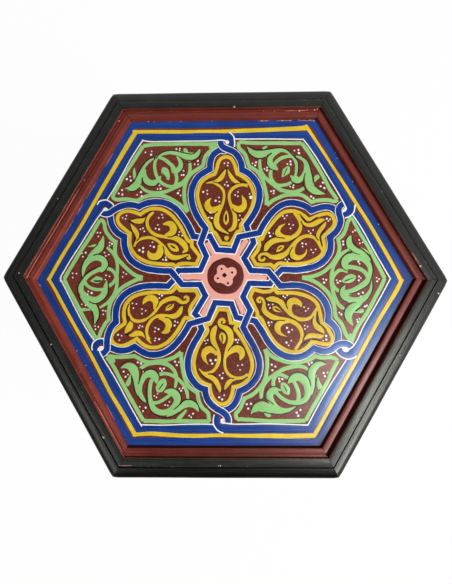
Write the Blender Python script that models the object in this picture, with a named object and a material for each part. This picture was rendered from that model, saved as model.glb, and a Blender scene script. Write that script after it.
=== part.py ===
"""A hexagonal Moroccan side table in painted wood.

The top is a framed panel: six moulded rails, mitred at the corners, hold a fielded panel
in their rebate, and six round beads keep it there. The top stands on six side boards, each
cut through with a horseshoe arch that rises to an ogee point. Posts behind the mitred
corners make the legs, and cleats inside the boards carry the screws that hold the top down.

Metres, +Z up. The origin is on the floor at the table's centre. Two sides face +Y and -Y,
and two corners point along +X and -X.
"""

import math

import bmesh
import bpy
from mathutils import Matrix, Vector

# Driving dimensions
SIDES = 6
TABLE_HEIGHT = 0.480
RIM_CORNER_RADIUS = 0.220
FIT_GAP = 0.0003

# Rim rail: a round lip outside, a narrow quirk, a flat, and a shelf below for the panel
RAIL_HEIGHT = 0.026
RAIL_WIDTH = 0.052
LIP_WIDTH = 0.0075
LIP_RISE = 0.0045
LIP_DROP = 0.0025
LIP_STEPS = 6
QUIRK_WIDTH = 0.0012
QUIRK_DEPTH = 0.0012
FLAT_WIDTH = 0.0100
FLAT_ARRIS = 0.0005
SHELF_THICKNESS = 0.008

# Top panel: a raised field with a thinner tongue all round, which the bead covers
PANEL_THICKNESS = 0.0097
TONGUE_DROP = 0.002

# Bead: a half round between two narrow fillets
BEAD_WIDTH = 0.0099
BEAD_FILLET = 0.0015
BEAD_SHOULDER = 0.0034
BEAD_CROWN = 0.0033
BEAD_STEPS = 10

# Side boards, set back under the rim
TOP_OVERHANG = 0.0225
BOARD_THICKNESS = 0.014
BOARD_ARRIS = 0.0010

# Arch through each side board
ARCH_HALF_WIDTH = 0.062
JAMB_HEIGHT = 0.252
IMPOST_STEP = 0.009
IMPOST_NECK = 0.006
HORSESHOE_RADIUS = 0.060
HORSESHOE_END = math.radians(60)
OGEE_RADIUS = 0.069
ARCH_STEPS = 14

# Posts behind the corners
POST_LEG = 0.024
POST_DEPTH = 0.016
POST_ARRIS = 0.0010

# Cove moulding in the angle under the rim
NECK_WIDTH = 0.012
NECK_HEIGHT = 0.014
NECK_FILLET = 0.0022
NECK_STEPS = 8

# Cleats and their screws
CLEAT_WIDTH = 0.018
CLEAT_HEIGHT = 0.018
CLEAT_ARRIS = 0.0015
SCREW_SPACING = 0.080
SCREW_RADIUS = 0.0022
SCREW_HEAD_RADIUS = 0.0042
SCREW_HEAD_HEIGHT = 0.0026
SCREW_HEAD_ROUND = 0.0013
SCREW_POINT = 0.004
SCREW_BITE = 0.0065
SCREW_SEGMENTS = 12

# Mesh tolerances
MERGE_DISTANCE = 1e-6
ARRIS_ANGLE = math.radians(50)

# What follows from them
HALF_SECTOR = math.pi / SIDES
MITRE = math.tan(HALF_SECTOR)
MITRE_GAP = FIT_GAP / 2 / math.cos(HALF_SECTOR)
RIM_APOTHEM = RIM_CORNER_RADIUS * math.cos(HALF_SECTOR)
RAIL_BASE = TABLE_HEIGHT - RAIL_HEIGHT
SHELF_TOP = RAIL_BASE + SHELF_THICKNESS
REBATE_APOTHEM = RIM_APOTHEM - LIP_WIDTH - QUIRK_WIDTH - FLAT_WIDTH
PANEL_BASE = SHELF_TOP + FIT_GAP
FIELD_TOP = PANEL_BASE + PANEL_THICKNESS
TONGUE_TOP = FIELD_TOP - TONGUE_DROP
PANEL_APOTHEM = REBATE_APOTHEM - FIT_GAP
BEAD_APOTHEM = REBATE_APOTHEM - FIT_GAP
FIELD_APOTHEM = BEAD_APOTHEM - BEAD_WIDTH - FIT_GAP
BOARD_APOTHEM = RIM_APOTHEM - TOP_OVERHANG
BASE_TOP = RAIL_BASE - FIT_GAP
INSIDE_APOTHEM = BOARD_APOTHEM - BOARD_THICKNESS - FIT_GAP
CLEAT_HALF_LENGTH = INSIDE_APOTHEM * MITRE - POST_LEG - FIT_GAP
CLEAT_BASE = BASE_TOP - CLEAT_HEIGHT
SCREW_APOTHEM = INSIDE_APOTHEM - CLEAT_WIDTH / 2
SCREW_TOP = PANEL_BASE + SCREW_BITE

# Paint and bare wood: colour, roughness
FINISHES = {
    "green_black_paint": ((0.020, 0.023, 0.020), 0.45),
    "oxblood_paint": ((0.150, 0.030, 0.022), 0.50),
    "ground_paint": ((0.120, 0.028, 0.024), 0.50),
    "bare_cedar": ((0.420, 0.250, 0.130), 0.70),
    "screw_steel": ((0.350, 0.340, 0.330), 0.40),
}


def clear_scene():
    for obj in list(bpy.data.objects):
        bpy.data.objects.remove(obj)


def finish(name):
    """The Principled material of that name, made on first use."""
    material = bpy.data.materials.get(name)
    if material is None:
        colour, roughness = FINISHES[name]
        material = bpy.data.materials.new(name)
        material.use_nodes = True
        shader = material.node_tree.nodes["Principled BSDF"]
        shader.inputs["Base Color"].default_value = (*colour, 1.0)
        shader.inputs["Roughness"].default_value = roughness
        shader.inputs["Metallic"].default_value = 1.0 if name == "screw_steel" else 0.0
    return material


def mesh_from(bm, name, finish_name):
    """Closes off a bmesh as a mesh with its normals out and its material set."""
    bmesh.ops.recalc_face_normals(bm, faces=bm.faces)
    mesh = bpy.data.meshes.new(name)
    bm.to_mesh(mesh)
    bm.free()
    mesh.materials.append(finish(finish_name))
    return mesh


def place(name, mesh, turn=0.0):
    """An object of this mesh, turned about the table's axis."""
    obj = bpy.data.objects.new(name, mesh)
    obj.rotation_euler.z = turn
    bpy.context.scene.collection.objects.link(obj)
    return obj


def side_turn(side):
    """How far side number 1, 2, ... is turned from the +Y side."""
    return (side - 1) * 2 * HALF_SECTOR


def ease_edges(obj, width):
    """Takes the sharp arrises off a wooden piece."""
    bevel = obj.modifiers.new("eased_edges", "BEVEL")
    bevel.width = width
    bevel.segments = 1
    bevel.limit_method = "ANGLE"
    bevel.angle_limit = ARRIS_ANGLE


def drill(obj, cutter):
    cut = obj.modifiers.new("screw_holes", "BOOLEAN")
    cut.operation = "DIFFERENCE"
    cut.solver = "EXACT"
    cut.object = cutter


def arc(centre, radii, start, end, steps):
    """Points along an ellipse's arc, both ends included."""
    turns = [start + (end - start) * i / steps for i in range(steps + 1)]
    return [(centre[0] + radii[0] * math.cos(t), centre[1] + radii[1] * math.sin(t)) for t in turns]


def mitred_stick(name, profile, finish_name):
    """A length of moulding along one side, mitred at both ends.

    The profile's points are (distance from the table's axis, height).
    """
    bm = bmesh.new()
    outline = [bm.verts.new((0.0, apothem, height)) for apothem, height in profile]
    end_face = bm.faces.new(outline)
    grown = bmesh.ops.extrude_face_region(bm, geom=[end_face], use_keep_orig=True)
    far_end = [v for v in grown["geom"] if isinstance(v, bmesh.types.BMVert)]
    for vert in outline:
        vert.co.x = -(vert.co.y * MITRE - MITRE_GAP)
    for vert in far_end:
        vert.co.x = vert.co.y * MITRE - MITRE_GAP
    return mesh_from(bm, name, finish_name)


def rail_mesh():
    """The rim rail: outer lip, quirk, flat, rebate face, shelf and flat underside."""
    lip_inside = RIM_APOTHEM - LIP_WIDTH
    flat_outside = lip_inside - QUIRK_WIDTH
    shelf_inside = RIM_APOTHEM - RAIL_WIDTH
    lip_top = TABLE_HEIGHT - LIP_DROP
    lip = arc((lip_inside, lip_top - LIP_RISE), (LIP_WIDTH, LIP_RISE), 0, math.pi / 2, LIP_STEPS)
    profile = [(RIM_APOTHEM, RAIL_BASE)]
    profile += lip
    profile += [
        (lip_inside, lip_top - QUIRK_DEPTH),
        (flat_outside, lip_top - QUIRK_DEPTH),
        (flat_outside, TABLE_HEIGHT - FLAT_ARRIS),
        (flat_outside - FLAT_ARRIS, TABLE_HEIGHT),
        (REBATE_APOTHEM + FLAT_ARRIS, TABLE_HEIGHT),
        (REBATE_APOTHEM, TABLE_HEIGHT - FLAT_ARRIS),
        (REBATE_APOTHEM, SHELF_TOP),
        (shelf_inside, SHELF_TOP),
        (shelf_inside, RAIL_BASE),
    ]
    return mitred_stick("rim_rail", profile, "green_black_paint")


def bead_mesh():
    """The bead that holds the panel: a half round between two fillets, seated on the tongue."""
    base = TONGUE_TOP + FIT_GAP
    shoulder = base + BEAD_SHOULDER
    inside = BEAD_APOTHEM - BEAD_WIDTH
    middle = BEAD_APOTHEM - BEAD_WIDTH / 2
    half_round = BEAD_WIDTH / 2 - BEAD_FILLET
    crown = arc((middle, shoulder), (half_round, BEAD_CROWN), 0, math.pi, BEAD_STEPS)
    profile = [(BEAD_APOTHEM, base), (BEAD_APOTHEM, shoulder)]
    profile += crown
    profile += [(inside, shoulder), (inside, base)]
    return mitred_stick("rim_bead", profile, "oxblood_paint")


def neck_mesh():
    """The cove moulding under the rim, against the side board."""
    back = BOARD_APOTHEM + FIT_GAP
    front = back + NECK_WIDTH
    foot = BASE_TOP - NECK_HEIGHT
    cove_radii = (NECK_WIDTH - NECK_FILLET, NECK_HEIGHT - 2 * NECK_FILLET)
    cove = arc((front, foot + NECK_FILLET), cove_radii, math.pi / 2, math.pi, NECK_STEPS)
    profile = [(back, foot), (back, BASE_TOP), (front, BASE_TOP)]
    profile += cove
    profile += [(back + NECK_FILLET, foot)]
    return mitred_stick("neck_moulding", profile, "oxblood_paint")


def panel_mesh():
    """The top panel: a hexagonal board with its raised field inset from the tongue."""
    bm = bmesh.new()
    corner = PANEL_APOTHEM / math.cos(HALF_SECTOR)
    bmesh.ops.create_circle(bm, cap_ends=True, segments=SIDES, radius=corner)
    board = bm.faces[:]
    bmesh.ops.rotate(bm, verts=bm.verts, matrix=Matrix.Rotation(-math.pi / 2, 3, "Z"))
    bmesh.ops.translate(bm, verts=bm.verts, vec=(0, 0, PANEL_BASE))
    grown = bmesh.ops.extrude_face_region(bm, geom=board, use_keep_orig=True)
    raised = [v for v in grown["geom"] if isinstance(v, bmesh.types.BMVert)]
    bmesh.ops.translate(bm, verts=raised, vec=(0, 0, TONGUE_TOP - PANEL_BASE))
    top = [f for f in grown["geom"] if isinstance(f, bmesh.types.BMFace)]
    bmesh.ops.inset_region(bm, faces=top, thickness=PANEL_APOTHEM - FIELD_APOTHEM, use_even_offset=True)
    field = bmesh.ops.extrude_face_region(bm, geom=top)
    bmesh.ops.delete(bm, geom=top, context="FACES")
    lifted = [v for v in field["geom"] if isinstance(v, bmesh.types.BMVert)]
    bmesh.ops.translate(bm, verts=lifted, vec=(0, 0, TONGUE_DROP))
    return mesh_from(bm, "top_panel", "ground_paint")


def arch_half():
    """The arch's right half, from the floor to its point, as (along the board, height)."""
    jamb_foot = (ARCH_HALF_WIDTH, 0.0)
    impost = arc(
        (ARCH_HALF_WIDTH, JAMB_HEIGHT + IMPOST_STEP), (IMPOST_STEP, IMPOST_STEP),
        -math.pi / 2, -math.pi, ARCH_STEPS // 3,
    )
    springing = (ARCH_HALF_WIDTH - IMPOST_STEP, JAMB_HEIGHT + IMPOST_STEP + IMPOST_NECK)
    below_centre = math.acos(springing[0] / HORSESHOE_RADIUS)
    centre = (0.0, springing[1] + HORSESHOE_RADIUS * math.sin(below_centre))
    horseshoe = arc(
        centre, (HORSESHOE_RADIUS, HORSESHOE_RADIUS), -below_centre, HORSESHOE_END, ARCH_STEPS
    )
    reach = HORSESHOE_RADIUS + OGEE_RADIUS
    ogee_centre = (reach * math.cos(HORSESHOE_END), centre[1] + reach * math.sin(HORSESHOE_END))
    to_point = math.pi + math.acos(ogee_centre[0] / OGEE_RADIUS)
    ogee = arc(
        ogee_centre, (OGEE_RADIUS, OGEE_RADIUS), math.pi + HORSESHOE_END, to_point, ARCH_STEPS // 2
    )
    return [jamb_foot] + impost + horseshoe + ogee[1:]


def board_mesh():
    """A side board with its arch, its long edges mitred to meet the next boards."""
    half_width = BOARD_APOTHEM * MITRE - MITRE_GAP
    inner_half_width = (BOARD_APOTHEM - BOARD_THICKNESS) * MITRE - MITRE_GAP
    right = arch_half()
    left = [(-x, z) for x, z in reversed(right[:-1])]
    outline = [(-half_width, BASE_TOP), (half_width, BASE_TOP), (half_width, 0.0)]
    outline += right + left + [(-half_width, 0.0)]
    bm = bmesh.new()
    front = bm.faces.new([bm.verts.new((x, BOARD_APOTHEM, z)) for x, z in outline])
    grown = bmesh.ops.extrude_face_region(bm, geom=[front], use_keep_orig=True)
    back = [v for v in grown["geom"] if isinstance(v, bmesh.types.BMVert)]
    bmesh.ops.translate(bm, verts=back, vec=(0, -BOARD_THICKNESS, 0))
    for vert in back:
        if abs(vert.co.x) > ARCH_HALF_WIDTH + FIT_GAP:
            vert.co.x = math.copysign(inner_half_width, vert.co.x)
    return mesh_from(bm, "side_board", "ground_paint")


def post_mesh():
    """A corner post: two faces glued to the boards, two square to them, and one inside."""
    bm = bmesh.new()
    corner = Vector((0.0, INSIDE_APOTHEM / math.cos(HALF_SECTOR)))
    along = Vector((math.cos(HALF_SECTOR), -math.sin(HALF_SECTOR)))
    inward = Vector((-math.sin(HALF_SECTOR), -math.cos(HALF_SECTOR)))
    edge = corner + along * POST_LEG
    back = edge + inward * POST_DEPTH
    section = [corner, edge, back, Vector((-back.x, back.y)), Vector((-edge.x, edge.y))]
    foot = bm.faces.new([bm.verts.new((p.x, p.y, 0.0)) for p in section])
    grown = bmesh.ops.extrude_face_region(bm, geom=[foot], use_keep_orig=True)
    head = [v for v in grown["geom"] if isinstance(v, bmesh.types.BMVert)]
    bmesh.ops.translate(bm, verts=head, vec=(0, 0, BASE_TOP))
    return mesh_from(bm, "corner_post", "bare_cedar")


def cleat_mesh():
    """A square batten inside a side board, between two posts."""
    bm = bmesh.new()
    bmesh.ops.create_cube(bm, size=1.0)
    size = (2 * CLEAT_HALF_LENGTH, CLEAT_WIDTH, CLEAT_HEIGHT)
    bmesh.ops.scale(bm, verts=bm.verts, vec=size)
    middle = (0.0, INSIDE_APOTHEM - CLEAT_WIDTH / 2, CLEAT_BASE + CLEAT_HEIGHT / 2)
    bmesh.ops.translate(bm, verts=bm.verts, vec=middle)
    return mesh_from(bm, "top_cleat", "bare_cedar")


def turned(bm, profile, at):
    """Spins a profile of (radius, height) points round a vertical axis and closes it."""
    start = [bm.verts.new((at[0] + radius, at[1], height)) for radius, height in profile]
    edges = [bm.edges.new(pair) for pair in zip(start, start[1:])]
    bmesh.ops.spin(
        bm, geom=start + edges, cent=(at[0], at[1], 0.0), axis=(0, 0, 1),
        angle=2 * math.pi, steps=SCREW_SEGMENTS, use_merge=True,
    )
    bmesh.ops.remove_doubles(bm, verts=bm.verts, dist=MERGE_DISTANCE)


def screw_mesh():
    """A round-headed wood screw, on the table's axis, standing head down."""
    head_top = CLEAT_BASE - FIT_GAP
    profile = [
        (0.0, head_top - SCREW_HEAD_HEIGHT),
        (SCREW_HEAD_RADIUS - SCREW_HEAD_ROUND, head_top - SCREW_HEAD_HEIGHT),
        (SCREW_HEAD_RADIUS, head_top - SCREW_HEAD_HEIGHT + SCREW_HEAD_ROUND),
        (SCREW_HEAD_RADIUS, head_top),
        (SCREW_RADIUS, head_top),
        (SCREW_RADIUS, SCREW_TOP - SCREW_POINT),
        (0.0, SCREW_TOP),
    ]
    bm = bmesh.new()
    turned(bm, profile, (0.0, 0.0))
    mesh = mesh_from(bm, "cleat_screw", "screw_steel")
    mesh.shade_smooth()
    mesh.set_sharp_from_angle(angle=ARRIS_ANGLE)
    return mesh


def screw_places():
    """Where each screw stands, two to a cleat."""
    for side in range(1, SIDES + 1):
        for along in (-SCREW_SPACING / 2, SCREW_SPACING / 2):
            turn = Matrix.Rotation(side_turn(side), 3, "Z")
            yield turn @ Vector((along, SCREW_APOTHEM, 0.0))


def hole_cutter():
    """Every screw's hole as one hidden cutter."""
    bm = bmesh.new()
    profile = [
        (0.0, CLEAT_BASE - SCREW_HEAD_HEIGHT),
        (SCREW_RADIUS + FIT_GAP, CLEAT_BASE - SCREW_HEAD_HEIGHT),
        (SCREW_RADIUS + FIT_GAP, SCREW_TOP + FIT_GAP),
        (0.0, SCREW_TOP + FIT_GAP),
    ]
    for at in screw_places():
        turned(bm, profile, at)
    cutter = place("screw_hole_cutter", mesh_from(bm, "screw_hole_cutter", "screw_steel"))
    cutter.hide_render = True
    cutter.display_type = "WIRE"
    return cutter


def build_top(cutter):
    drill(place("top_panel", panel_mesh()), cutter)
    rail, bead = rail_mesh(), bead_mesh()
    for side in range(1, SIDES + 1):
        drill(place(f"rim_rail_{side}", rail, side_turn(side)), cutter)
        place(f"rim_bead_{side}", bead, side_turn(side))


def build_base(cutter):
    board, post, cleat, neck = board_mesh(), post_mesh(), cleat_mesh(), neck_mesh()
    for side in range(1, SIDES + 1):
        ease_edges(place(f"side_board_{side}", board, side_turn(side)), BOARD_ARRIS)
        ease_edges(place(f"corner_post_{side}", post, side_turn(side) + HALF_SECTOR), POST_ARRIS)
        place(f"neck_moulding_{side}", neck, side_turn(side))
        batten = place(f"top_cleat_{side}", cleat, side_turn(side))
        ease_edges(batten, CLEAT_ARRIS)
        drill(batten, cutter)


def build_screws():
    screw = screw_mesh()
    for number, at in enumerate(screw_places(), start=1):
        place(f"cleat_screw_{number}", screw).location = at


def build_table():
    clear_scene()
    cutter = hole_cutter()
    build_top(cutter)
    build_base(cutter)
    build_screws()


build_table()
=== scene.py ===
import math

import bpy
import numpy as np
from mathutils import Matrix, Vector, noise


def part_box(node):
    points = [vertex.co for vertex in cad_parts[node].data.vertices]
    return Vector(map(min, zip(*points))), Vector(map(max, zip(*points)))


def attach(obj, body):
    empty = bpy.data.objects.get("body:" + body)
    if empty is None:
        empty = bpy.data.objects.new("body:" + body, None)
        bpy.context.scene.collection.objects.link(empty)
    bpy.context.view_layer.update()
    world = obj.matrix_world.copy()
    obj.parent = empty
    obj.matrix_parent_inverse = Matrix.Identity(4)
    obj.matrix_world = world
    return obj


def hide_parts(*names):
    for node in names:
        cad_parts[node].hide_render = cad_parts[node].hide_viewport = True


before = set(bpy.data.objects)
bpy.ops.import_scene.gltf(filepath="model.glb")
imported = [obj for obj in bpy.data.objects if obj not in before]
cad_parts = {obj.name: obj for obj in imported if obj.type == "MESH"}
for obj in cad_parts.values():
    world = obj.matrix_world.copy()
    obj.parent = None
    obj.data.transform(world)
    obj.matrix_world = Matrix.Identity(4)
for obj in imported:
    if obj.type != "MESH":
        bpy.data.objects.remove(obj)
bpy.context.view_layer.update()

# Corner posts and cleats
# Sawn cedar battens inside the base: a five-sided post is glued behind each mitred corner, and a
# square cleat along each board's top edge takes the screws. None of them was ever painted.
SIDES = 6
CEDAR_PALE = (196, 158, 116)
CEDAR_DARK = (146, 102, 66)
UPRIGHT_GRAIN = (210.0, 210.0, 9.0)
CROSS_GRAIN = (60.0, 60.0, 230.0)
FUZZ_DEPTH = 0.0004


def srgb(red, green, blue):
    """A colour as the eye reads it, 0 to 255, in the linear values that a shader takes."""
    shares = [value / 255 for value in (red, green, blue)]
    return tuple(((v + 0.055) / 1.055) ** 2.4 if v > 0.04 else v / 12.92 for v in shares) + (1.0,)


def node(tree, kind, inputs, **settings):
    """Adds a shader node. An input is a socket to join, or a plain value."""
    made = tree.nodes.new(kind)
    for key, value in settings.items():
        setattr(made, key, value)
    for key, value in inputs.items():
        if isinstance(value, bpy.types.NodeSocket):
            tree.links.new(value, made.inputs[key])
        else:
            made.inputs[key].default_value = value
    return made


def math_node(tree, operation, first, second=0.0):
    return node(tree, "ShaderNodeMath", {0: first, 1: second}, operation=operation).outputs[0]


def mix_colours(tree, factor, first, second):
    inputs = {0: factor, 6: first, 7: second}
    return node(tree, "ShaderNodeMix", inputs, data_type="RGBA").outputs[2]


def spread(tree, value, low, high, to_low=0.0, to_high=1.0):
    """Stretches the part of a value between low and high over a new range."""
    inputs = {"Value": value, "From Min": low, "From Max": high, "To Min": to_low, "To Max": to_high}
    return node(tree, "ShaderNodeMapRange", inputs).outputs[0]


def new_finish(name, roughness, specular=0.5):
    material = bpy.data.materials.new(name)
    material.use_nodes = True
    shader = material.node_tree.nodes["Principled BSDF"]
    shader.inputs["Roughness"].default_value = roughness
    shader.inputs["Specular IOR Level"].default_value = specular
    return material, material.node_tree, shader


def table_place(tree):
    return node(tree, "ShaderNodeTexCoord", {}).outputs["Object"]


def stretched(tree, place, scale):
    return node(tree, "ShaderNodeMapping", {"Vector": place, "Scale": scale}).outputs[0]


def clouds(tree, place, scale, detail, roughness=0.5):
    """A value from 0 to 1 that drifts from place to place."""
    inputs = {"Vector": place, "Scale": scale, "Detail": detail, "Roughness": roughness}
    return node(tree, "ShaderNodeTexNoise", inputs).outputs["Fac"]


def raise_marks(tree, shader, marks, strength, depth):
    """Lets the marks of a tool stand up from the surface."""
    bump = node(tree, "ShaderNodeBump", {"Height": marks, "Strength": strength, "Distance": depth})
    tree.links.new(bump.outputs[0], shader.inputs["Normal"])


def bare_cedar(name, grain_stretch):
    """Sawn cedar: long grain with darker summer rings, saw fuzz and a dry surface."""
    material, tree, shader = new_finish(name, 0.8, 0.25)
    grain = stretched(tree, table_place(tree), grain_stretch)
    rings = spread(tree, clouds(tree, grain, 1.0, 5.0), 0.35, 0.68)
    colour = mix_colours(tree, rings, srgb(*CEDAR_DARK), srgb(*CEDAR_PALE))
    tree.links.new(colour, shader.inputs["Base Color"])
    raise_marks(tree, shader, clouds(tree, grain, 6.0, 3.0), 0.35, FUZZ_DEPTH)
    return material


def clothe(name, material):
    """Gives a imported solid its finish."""
    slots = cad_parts[name].data.materials
    slots.clear()
    slots.append(material)


post_cedar = bare_cedar("cedar_upright_grain", UPRIGHT_GRAIN)
cleat_cedar = bare_cedar("cedar_cross_grain", CROSS_GRAIN)
for side in range(1, SIDES + 1):
    clothe(f"corner_post_{side}", post_cedar)
    clothe(f"top_cleat_{side}", cleat_cedar)

# Cleat screws
# Two slotted steel screws through each cleat into the rails' shelf, with round heads pulled up
# against the wood. They are turned steel, dulled by age, and the slots stop at any angle.
SCREW_COUNT = 12
HEAD_SEGMENTS = 28
HEAD_HEIGHT = 0.0026
HEAD_ROUND = 0.0013
SHANK_INSET = 0.48
TIP_LENGTH = 0.004
SLOT_WIDTH = 0.0011
SLOT_DEPTH = 0.0012
SLOT_TURN = 1.1
STEEL_DARK = (118, 112, 104)
STEEL_PALE = (176, 172, 166)


def dull_steel():
    material, tree, shader = new_finish("dull_screw_steel", 0.42)
    shader.inputs["Metallic"].default_value = 1.0
    tarnish = clouds(tree, table_place(tree), 420.0, 4.0)
    colour = mix_colours(tree, tarnish, srgb(*STEEL_DARK), srgb(*STEEL_PALE))
    tree.links.new(colour, shader.inputs["Base Color"])
    tree.links.new(spread(tree, tarnish, 0.3, 0.7, 0.32, 0.55), shader.inputs["Roughness"])
    return material


def select_only(piece):
    bpy.ops.object.select_all(action="DESELECT")
    piece.select_set(True)
    bpy.context.view_layer.objects.active = piece


def apply_modifier(piece, kind, **settings):
    select_only(piece)
    modifier = piece.modifiers.new(kind.lower(), kind)
    for key, value in settings.items():
        setattr(modifier, key, value)
    bpy.ops.object.modifier_apply(modifier=modifier.name)


def slotted_screw(name, node_name, slot_turn):
    """A screw in its solid's place: domed head with a slot, and a shank that goes up into the wood."""
    low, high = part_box(node_name)
    head_radius = (high.x - low.x) / 2
    centre = (low + high) / 2
    shank = high.z - low.z - HEAD_HEIGHT - TIP_LENGTH
    bpy.ops.object.select_all(action="DESELECT")
    bpy.ops.mesh.primitive_cylinder_add(
        vertices=HEAD_SEGMENTS, radius=head_radius, depth=HEAD_HEIGHT,
        location=(centre.x, centre.y, low.z + HEAD_HEIGHT / 2),
    )
    screw = bpy.context.object
    screw.name = name
    bpy.ops.object.transform_apply()
    bpy.ops.object.mode_set(mode="EDIT")
    bpy.ops.mesh.select_mode(type="FACE")
    bpy.ops.mesh.select_all(action="DESELECT")
    bpy.ops.object.mode_set(mode="OBJECT")
    for face in screw.data.polygons:
        face.select = face.normal.z > 0.9
    bpy.ops.object.mode_set(mode="EDIT")
    bpy.ops.mesh.inset(thickness=head_radius * SHANK_INSET)
    for length in (shank, TIP_LENGTH):
        bpy.ops.mesh.extrude_region_move(TRANSFORM_OT_translate={"value": (0, 0, length)})
    bpy.ops.mesh.merge(type="CENTER")
    bpy.ops.object.mode_set(mode="OBJECT")
    for edge in screw.data.edges:
        ends = [screw.data.vertices[v].co.z for v in edge.vertices]
        edge.select = max(ends) < low.z + 0.0001
    bpy.ops.object.mode_set(mode="EDIT")
    bpy.ops.mesh.select_mode(type="EDGE")
    bpy.ops.mesh.bevel(offset=HEAD_ROUND, segments=4, affect="EDGES")
    bpy.ops.object.mode_set(mode="OBJECT")
    bpy.ops.object.select_all(action="DESELECT")
    slot_place = (centre.x, centre.y, low.z)
    bpy.ops.mesh.primitive_cube_add(size=1.0, location=slot_place, rotation=(0, 0, slot_turn))
    slot = bpy.context.object
    slot.scale = (SLOT_WIDTH, head_radius * 3, SLOT_DEPTH * 2)
    apply_modifier(screw, "BOOLEAN", operation="DIFFERENCE", object=slot)
    bpy.data.objects.remove(slot)
    select_only(screw)
    bpy.ops.object.shade_smooth_by_angle(angle=math.radians(35))
    return screw


screw_steel = dull_steel()
for number in range(1, SCREW_COUNT + 1):
    screw = slotted_screw(f"slotted_screw_{number}", f"cleat_screw_{number}", number * SLOT_TURN)
    screw.data.materials.append(screw_steel)
    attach(screw, "root")
    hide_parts(f"cleat_screw_{number}")

# Side boards
# Six cedar boards with mitred long edges, each cut through with a horseshoe arch that rises to a
# point. They are painted by hand in red-brown, with a strap round the arch and leaf scrolls above.
GROUND_RED = (98, 40, 25)
BLUE = (2, 51, 131)
# The lighter blue here is painted sheen and window light, laid on in a patch towards the lower right.
SHEEN_BLUE = (48, 92, 160)
YELLOW = (218, 185, 43)
LEAF_GREEN = (144, 199, 121)
LINE_WHITE = (242, 238, 232)
GREEN_BLACK = (29, 31, 30)
DESIGN_ROUGHNESS, DESIGN_SPECULAR = 0.26, 0.36
# A round patch towards the lower right, by the window, where blue and red are painted lighter: painted
# sheen and window light.
SHEEN_PATCH = ((0.131, -0.074, 0.472), 0.097, 0.022)
BRISTLE_DEPTH = 0.0002
MM = 0.001
STROKE_FLATNESS = 0.03
STROKE_LIFT = 0.03
FINEST_HALF = 0.08
SHARP_TURN, WIDEST_TURN = 0.35, 2.3
CORNER_POINTS = 9
HAND_WAVER, WAVER_PITCH = 0.08, 0.22


def along_strokes(tree):
    """Streaks that follow each stroke of the brush, from end to end."""
    return stretched(tree, node(tree, "ShaderNodeTexCoord", {}).outputs["UV"], (5.0, 34.0, 1.0))


def up_boards(tree):
    """Streaks of a wide brush drawn up and down the boards."""
    return stretched(tree, table_place(tree), (520.0, 520.0, 14.0))


def paint(
    name, colour, streaks, mottle, streak, roughness, specular, chips=None, tinted_spots=(), ridges=0.25
):
    """Hand-brushed paint: its depth drifts in clouds and brush streaks, which also show in the gloss.

    chips is a function that gives where the paint has gone, and the colour that shows there. Each spot
    listed after it gives a place, how far from it the paint keeps its colour, where it has changed, and
    to what colour; one such patch, by the window, is painted sheen and window light.
    ridges is how much of the brush marks can be felt.
    """
    material, tree, shader = new_finish(name, roughness, specular)
    cloud = clouds(tree, table_place(tree), 60.0, 5.0)
    bristle = clouds(tree, streaks(tree), 1.0, 3.0)
    clouded = spread(tree, cloud, 0.3, 0.7, 1 - mottle / 2, 1 + mottle / 2)
    streaked = spread(tree, bristle, 0.3, 0.7, 1 - streak / 2, 1 + streak / 2)
    depth = math_node(tree, "MULTIPLY", clouded, streaked)
    own = srgb(*colour)
    for spot, kept, changed, other in tinted_spots:
        away = node(tree, "ShaderNodeVectorMath", {0: table_place(tree), 1: spot}, operation="DISTANCE")
        own = mix_colours(tree, spread(tree, away.outputs["Value"], kept, changed), own, srgb(*other))
    tint = node(tree, "ShaderNodeHueSaturation", {"Color": own, "Value": depth}).outputs[0]
    if chips:
        gone, shown = chips(tree)
        tint = mix_colours(tree, gone, tint, shown)
    tree.links.new(tint, shader.inputs["Base Color"])
    gloss = spread(tree, bristle, 0.3, 0.7, roughness - 0.04, roughness + 0.04)
    tree.links.new(gloss, shader.inputs["Roughness"])
    raise_marks(tree, shader, bristle, ridges, BRISTLE_DEPTH)
    return material


def design_paint(name, colour, mottle, streak, tinted_spots=(), streaks=along_strokes):
    """A colour of the painted design, all of which has one sheen."""
    return paint(name, colour, streaks, mottle, streak, DESIGN_ROUGHNESS, DESIGN_SPECULAR, tinted_spots=tinted_spots)


def smooth(points, step=1.2):
    """Points about every step mm along a smooth curve through the given ones: x, y and any more."""
    given = np.array(points, float)
    gap = np.linalg.norm(np.diff(given[:, :2], axis=0), axis=1)[:, None]
    slope = np.diff(given, axis=0) / gap
    lean = np.vstack([slope[:1], slope])
    lean[1:-1] = (slope[:-1] * gap[1:] + slope[1:] * gap[:-1]) / (gap[1:] + gap[:-1])
    lean[0] = (3 * slope[0] - lean[1]) / 2
    lean[-1] = (3 * slope[-1] - lean[-2]) / 2
    runs = []
    for i, length in enumerate(gap[:, 0]):
        count = max(1, round(length / step))
        t = np.arange(count)[:, None] / count
        runs.append(
            (2 * t**3 - 3 * t**2 + 1) * given[i] + (t**3 - 2 * t**2 + t) * length * lean[i]
            + (3 * t**2 - 2 * t**3) * given[i + 1] + (t**3 - t**2) * length * lean[i + 1]
        )
    return np.vstack(runs + [given[-1:]])


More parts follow.
